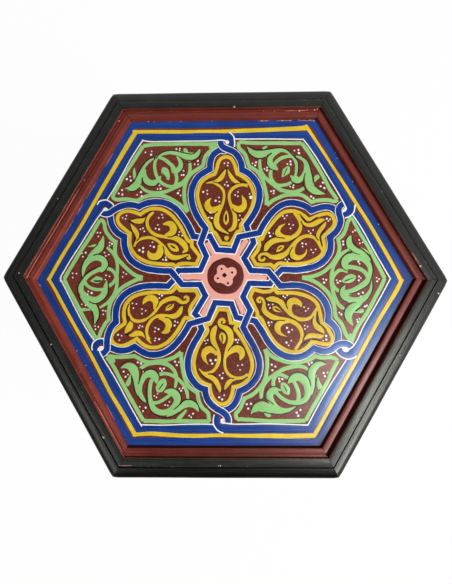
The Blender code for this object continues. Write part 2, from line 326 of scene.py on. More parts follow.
def mitred(path, closed):
    """Widens a stroke at sharp corners, so that its edges keep their distance, and clears room."""
    spots = path[:, :2]
    before = spots - np.roll(spots, 1, axis=0)
    after = np.roll(spots, -1, axis=0) - spots
    turn = np.abs(np.arctan2(
        before[:, 0] * after[:, 1] - before[:, 1] * after[:, 0], (before * after).sum(axis=1)
    ))
    if not closed:
        turn[[0, -1]] = 0.0
    turn = np.minimum(turn, WIDEST_TURN)
    keep = np.ones(len(path), bool)
    corners = np.flatnonzero(turn > SHARP_TURN)
    for corner in corners:
        reach = path[corner, 2] * math.tan(turn[corner] / 2)
        for step in range(-CORNER_POINTS, CORNER_POINTS + 1):
            other = (corner + step) % len(path)
            near = np.linalg.norm(spots[other] - spots[corner]) < reach
            if near and other not in corners and (closed or 0 < other < len(path) - 1):
                keep[other] = False
    path = path.copy()
    path[corners, 2] /= np.cos(turn[corners] / 2)
    return path[keep]


def flat_brush():
    """The section that every stroke is drawn with: a circle pressed almost flat."""
    bpy.ops.object.select_all(action="DESELECT")
    bpy.ops.curve.primitive_bezier_circle_add(radius=1.0)
    tip = bpy.context.object
    tip.name = "brush_tip"
    tip.data.resolution_u = 2
    tip.scale = (1.0, STROKE_FLATNESS, 1.0)
    bpy.ops.object.transform_apply()
    return tip


def swept_curve(name, section):
    """An empty curve that draws its section, with closed ends, along each run it is given."""
    bpy.ops.object.select_all(action="DESELECT")
    bpy.ops.curve.primitive_bezier_curve_add()
    piece = bpy.context.object
    piece.name = name
    piece.data.splines.clear()
    piece.data.dimensions = "3D"
    piece.data.twist_mode = "Z_UP"
    piece.data.bevel_mode = "OBJECT"
    piece.data.bevel_object = section
    piece.data.use_fill_caps = True
    return piece


def painted(name, strokes, material, place, lift):
    """Strokes of one colour, as thin raised paint on a flat surface.

    A stroke is a row of (x, y, half width, and maybe its own lift) in mm. It closes on itself where
    it ends where it began.
    """
    piece = swept_curve(name, brush_tip)
    for stroke in strokes:
        path = np.array(stroke, float)
        if path.shape[1] == 3:
            path = np.hstack([path, np.full((len(path), 1), lift)])
        closed = np.linalg.norm(path[0, :2] - path[-1, :2]) < 0.01
        path = mitred(path[:-1] if closed else path, closed)
        spline = piece.data.splines.new("POLY")
        spline.points.add(len(path) - 1)
        spline.use_cyclic_u = bool(closed)
        for point, (x, y, half_width, height) in zip(spline.points, path):
            waver = 1 + HAND_WAVER * noise.noise((x * WAVER_PITCH, y * WAVER_PITCH, half_width))
            point.co = (x * MM, y * MM, height * MM, 1.0)
            point.radius = max(half_width * waver, FINEST_HALF) * MM
    bpy.ops.object.convert(target="MESH")
    piece.data.transform(place)
    bpy.ops.object.mode_set(mode="EDIT")
    bpy.ops.mesh.select_all(action="SELECT")
    bpy.ops.mesh.remove_doubles(threshold=1e-7)
    bpy.ops.object.mode_set(mode="OBJECT")
    bpy.ops.object.shade_smooth_by_angle(angle=math.radians(30))
    piece.data.materials.clear()
    piece.data.materials.append(material)
    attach(piece, "root")


def with_width(points, half_width):
    return [(*point[:2], half_width) for point in points]


def dot(x, y, radius=0.76):
    """A touch of the brush's tip: a stroke as long as it is wide."""
    turns = [math.pi * i / 8 for i in range(9)]
    return [(x - radius * math.cos(t), y, radius * math.sin(t)) for t in turns]


def mirrored(strokes):
    return [[(-point[0], *point[1:]) for point in stroke] for stroke in strokes]


brush_tip = flat_brush()
white_lines = design_paint("white_line_paint", LINE_WHITE, 0.08, 0.10)
# The blue is painted lighter in the patch by the window: painted sheen and window light.
blue_sheen_patch = [(*SHEEN_PATCH, SHEEN_BLUE)]
strap_blue = design_paint("strap_blue_paint", BLUE, 0.30, 0.22, blue_sheen_patch)
band_yellow = design_paint("band_yellow_paint", YELLOW, 0.20, 0.34)
leaf_green = design_paint("leaf_green_paint", LEAF_GREEN, 0.14, 0.20)
board_red = paint("board_red_paint", GROUND_RED, up_boards, 0.30, 0.22, 0.5, 0.35)
edge_green_black = paint("edge_green_black_paint", GREEN_BLACK, along_strokes, 0.3, 0.3, 0.45, 0.4)

BOARD_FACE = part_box("side_board_1")[1].y
BOARD_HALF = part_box("side_board_1")[1].x / MM
BOARD_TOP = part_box("neck_moulding_1")[0].z / MM
ARCH_HALF = 62.0
IMPOST = 252.0
HORSESHOE_CENTRE = 295.1
HORSESHOE_RADIUS = 60.0
ARCH_POINT = 386.0
STRAP_AWAY, YELLOW_AWAY = 9.0, 16.5
EDGE_INSET, EDGE_HALF = 3.4, 3.0
FRIEZE_DROP, FRIEZE_HALF = 7.0, 1.7
BOARD_DOT = 1.3


def round_arch(offset):
    """The arch's right half, set off from the opening's edge, from the floor to the point."""
    ring = HORSESHOE_RADIUS + offset
    turns = [math.radians(t) for t in range(-26, 61, 8)]
    horseshoe = [(ring * math.cos(t), HORSESHOE_CENTRE + ring * math.sin(t)) for t in turns]
    foot = [(ARCH_HALF + offset, 2.0), (ARCH_HALF + offset, 120.0), (ARCH_HALF + offset, IMPOST - 6)]
    top_x, top_z = horseshoe[-1]
    point = ARCH_POINT + 2.0 * offset
    ogee = [
        (top_x * 0.62, top_z + (point - top_z) * 0.20), (top_x * 0.32, top_z + (point - top_z) * 0.46),
        (top_x * 0.12, top_z + (point - top_z) * 0.74), (0.0, point),
    ]
    return foot + horseshoe + ogee


def whole_arch(offset, half_width):
    right = with_width(smooth(round_arch(offset), 3.0), half_width)
    left = mirrored([right])[0]
    return left + right[-2::-1]


SPANDREL_SCROLLS = [
    [(88, 292, 1.2), (84, 306, 2.0), (86, 322, 2.6), (87.5, 340, 2.8), (82, 358, 2.6), (72, 368, 2.4),
     (60, 369, 2.6), (52, 378, 2.8), (51, 391, 2.6), (59, 400, 2.4), (68, 396, 2.4), (69, 387, 2.2),
     (63, 383.5, 1.2)],
    [(84, 356, 1.0), (83, 372, 2.6), (78, 386, 3.2), (80, 400, 2.6), (87, 411, 0.5)],
    [(53, 386, 1.0), (43, 394, 2.6), (33, 396, 3.2), (22, 405, 2.4), (17, 416, 0.5)],
    [(70, 371, 0.8), (66, 356, 2.2), (56, 352, 0.4)],
]
SPANDREL_DOTS = [
    (88, 376), (90, 380), (86, 380), (70, 412), (74, 412), (72, 416), (38, 410), (42, 410), (40, 414),
    (62, 390), (44, 374), (47, 371), (43, 370),
]

edge_x = BOARD_HALF - EDGE_INSET
board_edges = [[(x, 2, EDGE_HALF), (x, BOARD_TOP - 1, EDGE_HALF)] for x in (edge_x, -edge_x)]
frieze_x = edge_x - FRIEZE_DROP
frieze = [(x, BOARD_TOP - FRIEZE_DROP, FRIEZE_HALF) for x in (-frieze_x, frieze_x)]
board_leaves = [smooth(stroke, 2.0) for stroke in SPANDREL_SCROLLS + mirrored(SPANDREL_SCROLLS)]
board_dots = [dot(hand * x, z, BOARD_DOT) for hand in (1, -1) for x, z in SPANDREL_DOTS]
board_design = [
    ("edges", board_edges, edge_green_black, STROKE_LIFT),
    ("strap_white", [whole_arch(STRAP_AWAY, 4.0)], white_lines, STROKE_LIFT),
    ("strap_blue", [whole_arch(STRAP_AWAY, 3.0)], strap_blue, 0.12),
    ("yellow", [whole_arch(YELLOW_AWAY, 1.5), frieze], band_yellow, STROKE_LIFT),
    ("leaves", board_leaves, leaf_green, STROKE_LIFT),
    ("dots", board_dots, white_lines, 0.08),
]
for side in range(1, SIDES + 1):
    clothe(f"side_board_{side}", board_red)
    board_place = (
        Matrix.Rotation(math.radians(60 * (side - 1)), 4, "Z") @ Matrix.Translation((0, BOARD_FACE, 0))
        @ Matrix.Rotation(math.pi, 4, "Z") @ Matrix.Rotation(math.pi / 2, 4, "X")
    )
    for name, strokes, finish, lift in board_design:
        painted(f"board_{side}_{name}", strokes, finish, board_place, lift)

# Neck mouldings and rim rails
# A cove moulding fills the angle between boards and rim. The rim's six rails are planed with a
# round lip, a quirk and a flat, mitred and glued, and brushed with green-black paint that has worn.
# The bottom rail's lip and the quirks of the three lower sides are painted near black as painted
# shade; the other quirks are painted a lighter grey as painted highlight.
RAIL_LOW, RAIL_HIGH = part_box("rim_rail_1")
RIM_APOTHEM = RAIL_HIGH.y
TABLE_HEIGHT = RAIL_HIGH.z
GLUE_GAP = 0.0003
REBATE_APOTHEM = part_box("rim_bead_1")[1].y + GLUE_GAP
LIP_WIDTH = 0.0092
LIP_INSIDE = RIM_APOTHEM - LIP_WIDTH
QUIRK_HALF, QUIRK_ROUND = 0.00075, 0.0004
FLAT_OUTSIDE = LIP_INSIDE - 2 * QUIRK_HALF
LIP_TOP = TABLE_HEIGHT - 0.0025
LIP_SPRING = LIP_TOP - 0.0045
QUIRK_BOTTOM = LIP_TOP - 0.0010
SHELF_TOP = RAIL_LOW.z + 0.008
LOWER_CHAMFER = 0.0008
FLAT_ARRIS, REBATE_ARRIS = 0.0007, 0.0006
MITRE = math.tan(math.pi / SIDES)
MITRE_GAP = 0.00017
FIELD_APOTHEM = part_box("rim_bead_1")[0].y
SIDE_OFFSETS = [(0.1, 0.25), (0.8, 2.3), (-3.1, -0.9), (0.4, 2.0), (1.1, 1.6), (-0.9, -0.7)]
CORNER_WEAR, WORN_FROM = 0.0026, 0.95
PLANE_WAVER = 0.00016
STREAK_PITCH = 800.0
STICK_SECTIONS = 72
SHADE_BLACK = (8, 8, 6)
SHADED_LIP_SIDE = 4
SHADED_QUIRK_SIDES = (3, 4, 5)
QUIRK_HIGHLIGHT_GREY = (58, 60, 58)
RAIL_WEAR_AND_HIGHLIGHT = (104, 102, 95)
RAIL_SHEEN = (1.0, 1.0, 0.91, 1.0)
OXBLOOD = (110, 43, 33)
RUBBED_OXBLOOD = (178, 116, 100)
BEAD_CHANGES = [
    ((-0.155, -0.085, 0.477), 0.150, 0.070, (130, 54, 39)),
    ((-0.015, -0.167, 0.477), 0.095, 0.045, (90, 32, 23)),
]


def from_axis(tree, place):
    """How far a point is from the table's axis, measured square to the nearest side."""
    reach = []
    for turn in (0, 60, 120):
        across = (-math.sin(math.radians(turn)), math.cos(math.radians(turn)), 0.0)
        dot = node(tree, "ShaderNodeVectorMath", {0: place, 1: across}, operation="DOT_PRODUCT")
        reach.append(math_node(tree, "ABSOLUTE", dot.outputs["Value"]))
    return math_node(tree, "MAXIMUM", math_node(tree, "MAXIMUM", reach[0], reach[1]), reach[2])


def round_sides(tree):
    """Streaks that run along each side of the hexagon and turn at its mitres."""
    place = table_place(tree)
    height = node(tree, "ShaderNodeSeparateXYZ", {"Vector": place}).outputs["Z"]
    parts = {
        "X": math_node(tree, "MULTIPLY", from_axis(tree, place), STREAK_PITCH),
        "Y": math_node(tree, "MULTIPLY", height, STREAK_PITCH),
        "Z": math_node(tree, "MULTIPLY", clouds(tree, place, 9.0, 2.0), 9.0),
    }
    return node(tree, "ShaderNodeCombineXYZ", parts).outputs[0]


def arc(centre, radii, start, end, steps):
    turns = [math.radians(start + (end - start) * i / steps) for i in range(steps + 1)]
    return [(centre[0] + radii[0] * math.cos(t), centre[1] + radii[1] * math.sin(t)) for t in turns]


def moulded_stick(name, profile):
    """A length of moulding on the +Y side: its section is drawn along the side and mitred at both ends.

    The section's points are (distance from the table's axis, height).
    """
    bpy.ops.object.select_all(action="DESELECT")
    bpy.ops.curve.primitive_bezier_curve_add()
    section = bpy.context.object
    section.data.splines.clear()
    outline = section.data.splines.new("POLY")
    outline.points.add(len(profile) - 1)
    outline.use_cyclic_u = True
    for point, (apothem, height) in zip(outline.points, profile):
        point.co = (-apothem, height, 0.0, 1.0)
    stick = swept_curve(name, section)
    half_length = max(apothem for apothem, height in profile) * MITRE + 0.004
    run = stick.data.splines.new("POLY")
    run.points.add(STICK_SECTIONS)
    for i, point in enumerate(run.points):
        point.co = (half_length * (2 * i / STICK_SECTIONS - 1), 0.0, 0.0, 1.0)
    bpy.ops.object.convert(target="MESH")
    bpy.data.objects.remove(section)
    bpy.ops.object.mode_set(mode="EDIT")
    bpy.ops.mesh.select_all(action="SELECT")
    bpy.ops.mesh.remove_doubles(threshold=1e-7)
    for hand in (1, -1):
        bpy.ops.mesh.select_all(action="SELECT")
        bpy.ops.mesh.bisect(
            plane_co=(-hand * MITRE_GAP, 0, 0), plane_no=(hand, -MITRE, 0),
            use_fill=True, clear_outer=True,
        )
    bpy.ops.mesh.select_all(action="SELECT")
    bpy.ops.mesh.normals_make_consistent(inside=False)
    bpy.ops.object.mode_set(mode="OBJECT")
    return stick


def hand_planed(stick, seed, waver):
    """Lets the faces of a moulding waver a little along its length, as a hand plane leaves them."""
    for vert in stick.data.vertices:
        drift = noise.noise_vector((vert.co.x * 14 + seed * 7.3, vert.co.y * 60, vert.co.z * 60))
        vert.co.y += drift.y * waver
        vert.co.z += drift.z * waver


def out_of_true(stick, side):
    """Lets a side of the frame stand further out or in, with its mitres closed and its corners worn."""
    def offset(number, apothem):
        middle, outer = SIDE_OFFSETS[(number - 1) % SIDES]
        stops = (FIELD_APOTHEM, REBATE_APOTHEM, RIM_APOTHEM)
        return MM * np.interp(apothem, stops, (0.0, middle, outer))

    for vert in stick.data.vertices:
        apothem = vert.co.y
        own = offset(side, apothem)
        right = (offset(side - 1, apothem) - own / 2) / math.cos(math.pi / SIDES)
        left = -(offset(side + 1, apothem) - own / 2) / math.cos(math.pi / SIDES)
        along = vert.co.x / (apothem * MITRE)
        vert.co.x += right * (1 + along) / 2 + left * (1 - along) / 2
        vert.co.y += own
        outward = np.interp(apothem, (FLAT_OUTSIDE, RIM_APOTHEM), (0.0, 1.0))
        vert.co.xy *= 1 - CORNER_WEAR * outward * max(0.0, abs(along) - WORN_FROM) / (1 - WORN_FROM)


def turned_copy(master, name, side):
    """A copy with its own mesh, turned to its side of the hexagon."""
    select_only(master)
    bpy.ops.object.duplicate()
    copy = bpy.context.object
    copy.name = name
    hand_planed(copy, side, PLANE_WAVER)
    planed = copy.data.attributes.new("planed_apothem", "FLOAT", "POINT")
    planed.data.foreach_set("value", [vert.co.y for vert in copy.data.vertices])
    out_of_true(copy, side)
    copy.data.transform(Matrix.Rotation(math.radians(60 * (side - 1)), 4, "Z"))
    bpy.ops.object.shade_smooth_by_angle(angle=math.radians(32))
    return copy


def band(tree, value, middle, half_width):
    """1 at the middle of a narrow band of a value, and 0 outside it."""
    away = math_node(tree, "ABSOLUTE", math_node(tree, "SUBTRACT", value, middle))
    return spread(tree, away, half_width * 0.4, half_width, 1.0, 0.0)


def rubbed_lines(arrises, half_width, amount, shown):
    """Chips along a moulding's arrises, where the paint is rubbed to its primer.

    An arris is given as its distance from the axis before the frame went out of true.
    """
    def chips(tree):
        place = table_place(tree)
        reach = node(tree, "ShaderNodeAttribute", {}, attribute_name="planed_apothem").outputs["Fac"]
        lines = 0.0
        for arris in arrises:
            lines = math_node(tree, "ADD", band(tree, reach, arris, half_width), lines)
        broken = spread(tree, clouds(tree, place, 230.0, 5.0, 0.7), 0.60 - amount, 0.66 - amount)
        stray = spread(tree, clouds(tree, place, 520.0, 2.0), 0.735, 0.76)
        worn = math_node(tree, "MULTIPLY", lines, broken)
        return math_node(tree, "MINIMUM", math_node(tree, "ADD", worn, stray), 0.85), srgb(*shown)
    return chips


lip_radii = (RIM_APOTHEM - LIP_INSIDE, LIP_TOP - LIP_SPRING)
quirk_middle = (LIP_INSIDE - QUIRK_HALF, QUIRK_BOTTOM + QUIRK_ROUND)
flat_arris = (FLAT_OUTSIDE - FLAT_ARRIS, TABLE_HEIGHT - FLAT_ARRIS)
rebate_arris = (REBATE_APOTHEM + REBATE_ARRIS, TABLE_HEIGHT - REBATE_ARRIS)
rail_profile = [(RIM_APOTHEM - LOWER_CHAMFER, RAIL_LOW.z), (RIM_APOTHEM, RAIL_LOW.z + LOWER_CHAMFER)]
rail_profile += arc((LIP_INSIDE, LIP_SPRING), lip_radii, 0, 90, 14)
rail_profile += arc(quirk_middle, (QUIRK_HALF, QUIRK_ROUND), 0, -180, 5)
rail_profile += arc(flat_arris, (FLAT_ARRIS, FLAT_ARRIS), 0, 90, 4)
rail_profile += arc(rebate_arris, (REBATE_ARRIS, REBATE_ARRIS), 90, 180, 4)
rail_profile += [(REBATE_APOTHEM, SHELF_TOP), (RAIL_LOW.y, SHELF_TOP), (RAIL_LOW.y, RAIL_LOW.z)]

# The pale broken line along the flat's outer arris is worn paint and, in part, a painted highlight.
rail_paint = paint(
    "rail_green_black_paint", GREEN_BLACK, round_sides, 0.40, 0.75, 0.28, 0.33,
    rubbed_lines((FLAT_OUTSIDE - 0.0003, ), 0.0007, 0.0, RAIL_WEAR_AND_HIGHLIGHT), ridges=0.5,
)
rail_paint.node_tree.nodes["Principled BSDF"].inputs["Specular Tint"].default_value = RAIL_SHEEN
bead_rubs = (REBATE_APOTHEM - 0.0008, REBATE_APOTHEM - 0.0099)
bead_paint = paint(
    "bead_oxblood_paint", OXBLOOD, round_sides, 0.35, 0.22, 0.30, 0.28,
    rubbed_lines(bead_rubs, 0.0006, -0.06, RUBBED_OXBLOOD), BEAD_CHANGES,
)
rail_master = moulded_stick("rail_master", rail_profile)
rail_master.data.materials.clear()
for finish in (rail_paint, bead_paint, rail_paint, rail_paint):
    rail_master.data.materials.append(finish)
for face in rail_master.data.polygons:
    on_wall = abs(face.center.y - REBATE_APOTHEM) < 0.0004 and face.center.z > SHELF_TOP + 0.001
    on_lip = face.center.y > LIP_INSIDE + 0.00001
    in_quirk = face.center.y > FLAT_OUTSIDE - 0.00001
    face.material_index = 1 if on_wall else 2 if on_lip else 3 if in_quirk else 0
# Painted shade and highlight: a near-black lip on the bottom rail, near-black quirks on the three lower
# sides, and lighter grey quirks on the others.
lip_painted_shade = paint("lip_painted_shade_paint", SHADE_BLACK, round_sides, 0.40, 0.75, 0.28, 0.30)
quirk_painted_shade = paint("quirk_painted_shade", SHADE_BLACK, round_sides, 0.30, 0.20, 0.70, 0.05)
quirk_painted_highlight = paint("quirk_painted_highlight", QUIRK_HIGHLIGHT_GREY, round_sides, 0.30, 0.20, 0.60, 0.10)
for side in range(1, SIDES + 1):
    clothe(f"neck_moulding_{side}", bead_paint)
    rail = turned_copy(rail_master, f"planed_rail_{side}", side)
    if side == SHADED_LIP_SIDE:
        rail.data.materials[2] = lip_painted_shade
    rail.data.materials[3] = quirk_painted_shade if side in SHADED_QUIRK_SIDES else quirk_painted_highlight
    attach(rail, "root")
    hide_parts(f"rim_rail_{side}")
bpy.data.objects.remove(rail_master)

# Top panel
# One hexagonal board of joined cedar, held loose in the rails' rebate so that it can move. It is
# primed and brushed with red-brown gesso paint, which is the ground of the whole design.
OUTER_RED = (109, 47, 33)
# The ground's colour in the patch by the window: painted sheen and window light.
SHEEN_RED = (122, 62, 46)
PANEL_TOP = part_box("top_panel")[1].z
# The ground is a little lighter red away from the middle, and is painted lighter in the patch by the
# window as painted sheen and window light.
ground_changes = [((0.0, 0.0, PANEL_TOP), 0.065, 0.105, OUTER_RED), (*SHEEN_PATCH, SHEEN_RED)]
ground_paint = design_paint("panel_ground_paint", GROUND_RED, 0.30, 0.15, ground_changes, up_boards)
clothe("top_panel", ground_paint)

# Beads
# Six lengths of low round bead with a fillet outside and a bevel inside, mitred within the rails and
# pinned down over the panel's tongue. They are oxblood red; the bevels on the bottom and lower right
# sides and the fillet on the lower right side are painted near-black red as painted shadow.
BEAD_LOW, BEAD_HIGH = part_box("rim_bead_1")
OUTER_FILLET, BEVEL = 0.0023, 0.0018
OUTER_ROUND = 0.0003
CROWN_STEP = 0.0006
ARRIS_EASE = 0.0002
OUTER_LEVEL = BEAD_HIGH.z - 0.0010
CROWN_RISE = 0.0004
CROWN_SPRING = BEAD_HIGH.z - CROWN_RISE
BEVEL_FOOT = BEAD_LOW.z + 0.0019
SHADOW_RED = (50, 18, 13)
SHADOWED_BEVEL_SIDES = (4, 5)
SHADOWED_FILLET_SIDE = 5
crown_outside = BEAD_HIGH.y - OUTER_FILLET - CROWN_STEP
crown_inside = BEAD_LOW.y + BEVEL
crown_middle = (crown_outside + crown_inside) / 2
crown_radii = (crown_outside - crown_middle, CROWN_RISE)
bead_profile = [
    (BEAD_HIGH.y, BEAD_LOW.z), (BEAD_HIGH.y, OUTER_LEVEL - OUTER_ROUND),
    (BEAD_HIGH.y - OUTER_ROUND, OUTER_LEVEL), (BEAD_HIGH.y - OUTER_FILLET, OUTER_LEVEL),
    (crown_outside + ARRIS_EASE, CROWN_SPRING - 0.0001),
]
bead_profile += arc((crown_middle, CROWN_SPRING), crown_radii, 0, 180, 16)
bead_profile += [
    (crown_inside - ARRIS_EASE, CROWN_SPRING - 0.0003), (BEAD_LOW.y + ARRIS_EASE, BEVEL_FOOT),
    (BEAD_LOW.y, BEVEL_FOOT - ARRIS_EASE), (BEAD_LOW.y, BEAD_LOW.z),
]
bead_master = moulded_stick("bead_master", bead_profile)
bead_master.data.materials.clear()
for slot in range(3):
    bead_master.data.materials.append(bead_paint)
for face in bead_master.data.polygons:
    on_bevel = face.normal.y < -0.5 and face.center.z > BEVEL_FOOT
    on_fillet = face.normal.z > 0.5 and face.center.y > crown_outside
    face.material_index = 1 if on_bevel else 2 if on_fillet else 0
# Painted shadow: the bevels on the bottom and lower right sides, and the fillet on the lower right side,
# are painted near-black red.
bevel_painted_shadow = paint("bevel_painted_shadow_paint", SHADOW_RED, round_sides, 0.3, 0.2, 0.60, 0.03)
for side in range(1, SIDES + 1):
    bead = turned_copy(bead_master, f"planed_bead_{side}", side)
    if side in SHADOWED_BEVEL_SIDES:
        bead.data.materials[1] = bevel_painted_shadow
    if side == SHADOWED_FILLET_SIDE:
        bead.data.materials[2] = bevel_painted_shadow
    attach(bead, "root")
    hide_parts(f"rim_bead_{side}")
bpy.data.objects.remove(bead_master)

# Painted border
# Two bands of blue run round the panel's edge, with a yellow line brushed between them, one stroke
# to a side. A fine white line closes the inner band and breaks at the knot in each side's middle.
BLUE_OUTER = (158.6, 3.9)
BLUE_INNER = (146.0, 4.1)
BORDER_BLUE = (16, 57, 132)
BORDER_YELLOW = (226, 192, 45)
YELLOW_THINNED = 0.92
YELLOW_STROKES = [
    [(-92, 151.5, 2.1), (-60, 151.2, 2.0), (-40, 150.9, 2.0), (-20, 151.1, 1.7), (0, 150.9, 2.0),
     (20, 151.3, 2.3), (40, 151.8, 2.3), (60, 152.5, 2.4), (78, 153.2, 2.6), (84.5, 153.8, 3.0)],
    [(-88, 151.8, 2.0), (-60, 152.4, 1.8), (-20, 151.6, 1.9), (0, 152.1, 1.9), (20, 152.5, 2.2),
     (40, 152.6, 2.3), (60, 152.9, 2.6), (80, 152.7, 2.5), (88, 152.2, 2.2)],
    [(-89, 150.9, 2.4), (-60, 151.4, 2.1), (-40, 152.0, 1.9), (-20, 151.3, 1.9), (0, 150.8, 1.8),
     (40, 150.8, 1.7), (60, 150.8, 1.8), (80, 150.4, 1.6), (88, 150.8, 1.5)],
    [(-88, 152.2, 2.4), (-60, 152.8, 2.5), (-40, 152.5, 2.3), (-20, 152.6, 2.0), (0, 152.1, 1.9),
     (30, 152.7, 2.1), (45, 152.3, 2.1), (60, 151.3, 2.2), (72, 150.6, 2.1), (84, 151.4, 2.0),
     (89, 151.7, 2.2)],
    [(-88, 152.7, 2.1), (-80, 153.3, 2.3), (-60, 152.9, 2.1), (-40, 152.2, 2.0), (-10, 152.4, 1.8),
     (20, 152.1, 1.9), (50, 151.8, 2.0), (80, 152.1, 2.0), (89, 151.9, 2.2)],
    [(-94, 150.4, 2.0), (-80, 150.9, 1.6), (-60, 151.6, 1.5), (-40, 152.0, 1.5), (-22, 152.4, 1.7),
     (0, 152.8, 1.9), (20, 153.2, 1.8), (40, 152.9, 1.9), (60, 152.4, 1.9), (80, 151.4, 2.0),
     (90, 150.6, 2.2)],
]
WHITE_LEFT = [
    [(-82.5, 142.4), (-78, 141.4), (-60, 140.9), (-40, 141.0), (-10, 141.2), (-3, 141.7), (1, 141.4),
     (4.5, 139.8)],
    [(-82.5, 140.2), (-79, 142.2), (-70, 142.7), (-40, 142.0), (-20, 141.4), (-10, 141.0), (-1, 140.1),
     (3.6, 139.2)],
    [(-84.5, 141.1), (-60, 141.3), (-40, 140.9), (-20, 141.2), (-8, 141.7), (0.5, 141.6)],
    [(-82, 142.2), (-60, 141.4), (-40, 141.0), (-20, 141.3), (-8, 141.2), (-0.6, 140.3)],
    [(-82, 142.4), (-60, 142.8), (-40, 142.4), (-28, 142.2), (-12, 143.4), (-6.5, 143.0), (-3, 141.7),
     (-1, 140.2)],
    [(-83, 140.6), (-74, 141.6), (-60, 142.4), (-40, 142.4), (-20, 142.5), (-8, 142.3), (-1, 141.8)],
]
WHITE_RIGHT = [
    [(12.0, 142.7), (20, 142.5), (45, 142.3), (60, 142.0), (81, 141.4)],
    [(11.6, 142.2), (20, 141.8), (40, 142.0), (60, 142.6), (75, 142.1), (82, 141.6)],
    [(11.2, 140.6), (20, 141.6), (30, 142.1), (45, 141.8), (60, 141.3), (84, 140.2)],
    [(10.0, 141.6), (20, 141.4), (40, 141.6), (60, 142.4), (75, 142.1), (80.5, 142.0)],
    [(8.0, 143.5), (20, 142.8), (40, 141.6), (60, 141.3), (82.5, 141.8)],
    [(8.0, 143.5), (20, 144.2), (30, 144.2), (45, 143.4), (60, 142.9), (83, 142.6)],
]


def panel_place(turn):
    return Matrix.Translation((0, 0, PANEL_TOP)) @ Matrix.Rotation(math.radians(turn), 4, "Z")


def turned(points, turn):
    """The same points after the design is turned about the panel's middle."""
    cos, sin = math.cos(math.radians(turn)), math.sin(math.radians(turn))
    return [(x * cos - y * sin, x * sin + y * cos, *rest) for x, y, *rest in points]


def hexagon(apothem, half_width):
    """A closed band round the panel, with points enough along each side for the hand to waver."""
    corner = apothem * MITRE
    side = [(corner - 2 * corner * i / 12, apothem) for i in range(12)]
    ring = [spot for turn in range(0, 360, 60) for spot in turned(side, turn)]
    wavered = []
    for i, (x, y) in enumerate(ring):
        drift = 0.0 if i % 12 == 0 else 0.5 * noise.noise((x * 0.06, y * 0.06, apothem))
        wavered.append((x, y, half_width + drift))
    return wavered + wavered[:1]


def on_panel(name, strokes, material, lift=STROKE_LIFT, turn=0):
    """Paints strokes on the panel, in the frame turned by some degrees about its middle."""
    painted(name, strokes, material, panel_place(turn), lift)


# The border blue is painted lighter in the patch by the window: painted sheen and window light.
border_blue = design_paint("border_blue_paint", BORDER_BLUE, 0.35, 0.30, blue_sheen_patch, round_sides)
border_gold = design_paint("border_yellow_paint", BORDER_YELLOW, 0.20, 0.34)
on_panel("border_blue_outer", [hexagon(*BLUE_OUTER)], border_blue)
on_panel("border_blue_inner", [hexagon(*BLUE_INNER)], border_blue)
yellow_sides = []
for k, stroke in enumerate(YELLOW_STROKES):
    thinned = [(x, y, half_width * YELLOW_THINNED) for x, y, half_width in stroke]
    yellow_sides.append(smooth(turned(thinned, 60 * k), 3.0))
on_panel("border_yellow", yellow_sides, border_gold, 0.11)
white_sides = []
for k in range(SIDES):
    for line in (WHITE_LEFT[k], WHITE_RIGHT[k]):
        white_sides.append(smooth(turned(with_width(line, 0.6), 60 * k), 2.0))
on_panel("border_white", white_sides, white_lines, 0.66)

# Straps
# A blue strap edged in white runs from a knot in each side round its medallion, over the next strap
# and round the next medallion's foot, where it goes under. A second strap closes the other flank.
OVER_BLUE = (3.0, 3.1, 3.1, 3.0, 2.75, 2.7, 2.7)
UNDER_BLUE = (2.9, 3.1, 3.1, 2.8)
OVER_EDGE = (3.65, 3.7, 3.7, 3.7, 3.75, 3.85, 3.75)
UNDER_EDGE = (3.65, 3.7, 3.7, 3.7)
UNDER, BETWEEN, OVER = 0.10, 0.26, 0.42
BLUE_ABOVE = 0.09
LEFT_LOBES = [
    [(3, 133.5), (1, 131), (-2.5, 131.6), (-7, 129.3), (-11, 125), (-12.9, 119.5), (-13.4, 111.8)],
    [(1, 133), (-3, 129.3), (-6.2, 126.5), (-10, 121), (-11.9, 115), (-11.8, 107.8)],
    [(1, 132), (-3, 129.5), (-7.5, 126), (-10.8, 121.3), (-12.8, 115.7), (-13.4, 109)],
    [(3, 129), (0, 128.5), (-5, 126.8), (-10, 122.8), (-13.3, 117), (-15.5, 109.8)],
    [(2, 128), (-2, 127.3), (-7, 125.8), (-12, 121.5), (-14.7, 115.5), (-15.9, 109.5)],
    [(2, 132), (-2, 131.3), (-7, 130), (-11.3, 125.5), (-14, 118.5), (-15.6, 110.6)],
]
LEFT_BELLIES = [
    [(-18.5, 109), (-25, 104.2), (-29.8, 96.5), (-32, 87.5), (-31.2, 77.5), (-28.2, 68), (-23.2, 59),
     (-17.5, 51.3)],
    [(-18, 104.2), (-24.5, 98), (-28.7, 90), (-29.7, 81), (-28.9, 73.5), (-26.7, 66.8), (-23.2, 58.5),
     (-18.5, 50)],
    [(-20.4, 105.7), (-27, 100.7), (-31, 94.2), (-33, 87), (-33, 79.5), (-31, 70.8), (-27.2, 61.8),
     (-21.3, 51)],
    [(-22, 106.8), (-28.3, 101.7), (-33, 95), (-35.2, 87.3), (-34.9, 79.7), (-32.3, 71.7), (-28.2, 63),
     (-23.6, 55.4), (-19.3, 47.2)],
    [(-22, 106.6), (-27.8, 101.5), (-32.2, 94.5), (-34.3, 87), (-34.5, 79), (-33, 70.5), (-28.9, 62),
     (-24.2, 54.8), (-22.5, 52)],
    [(-22, 108), (-27.8, 103.2), (-32.9, 96.5), (-35.2, 89.5), (-35, 82), (-33.1, 74.5), (-29.6, 66.2),
     (-25.3, 58.5), (-22.5, 54.5)],
]
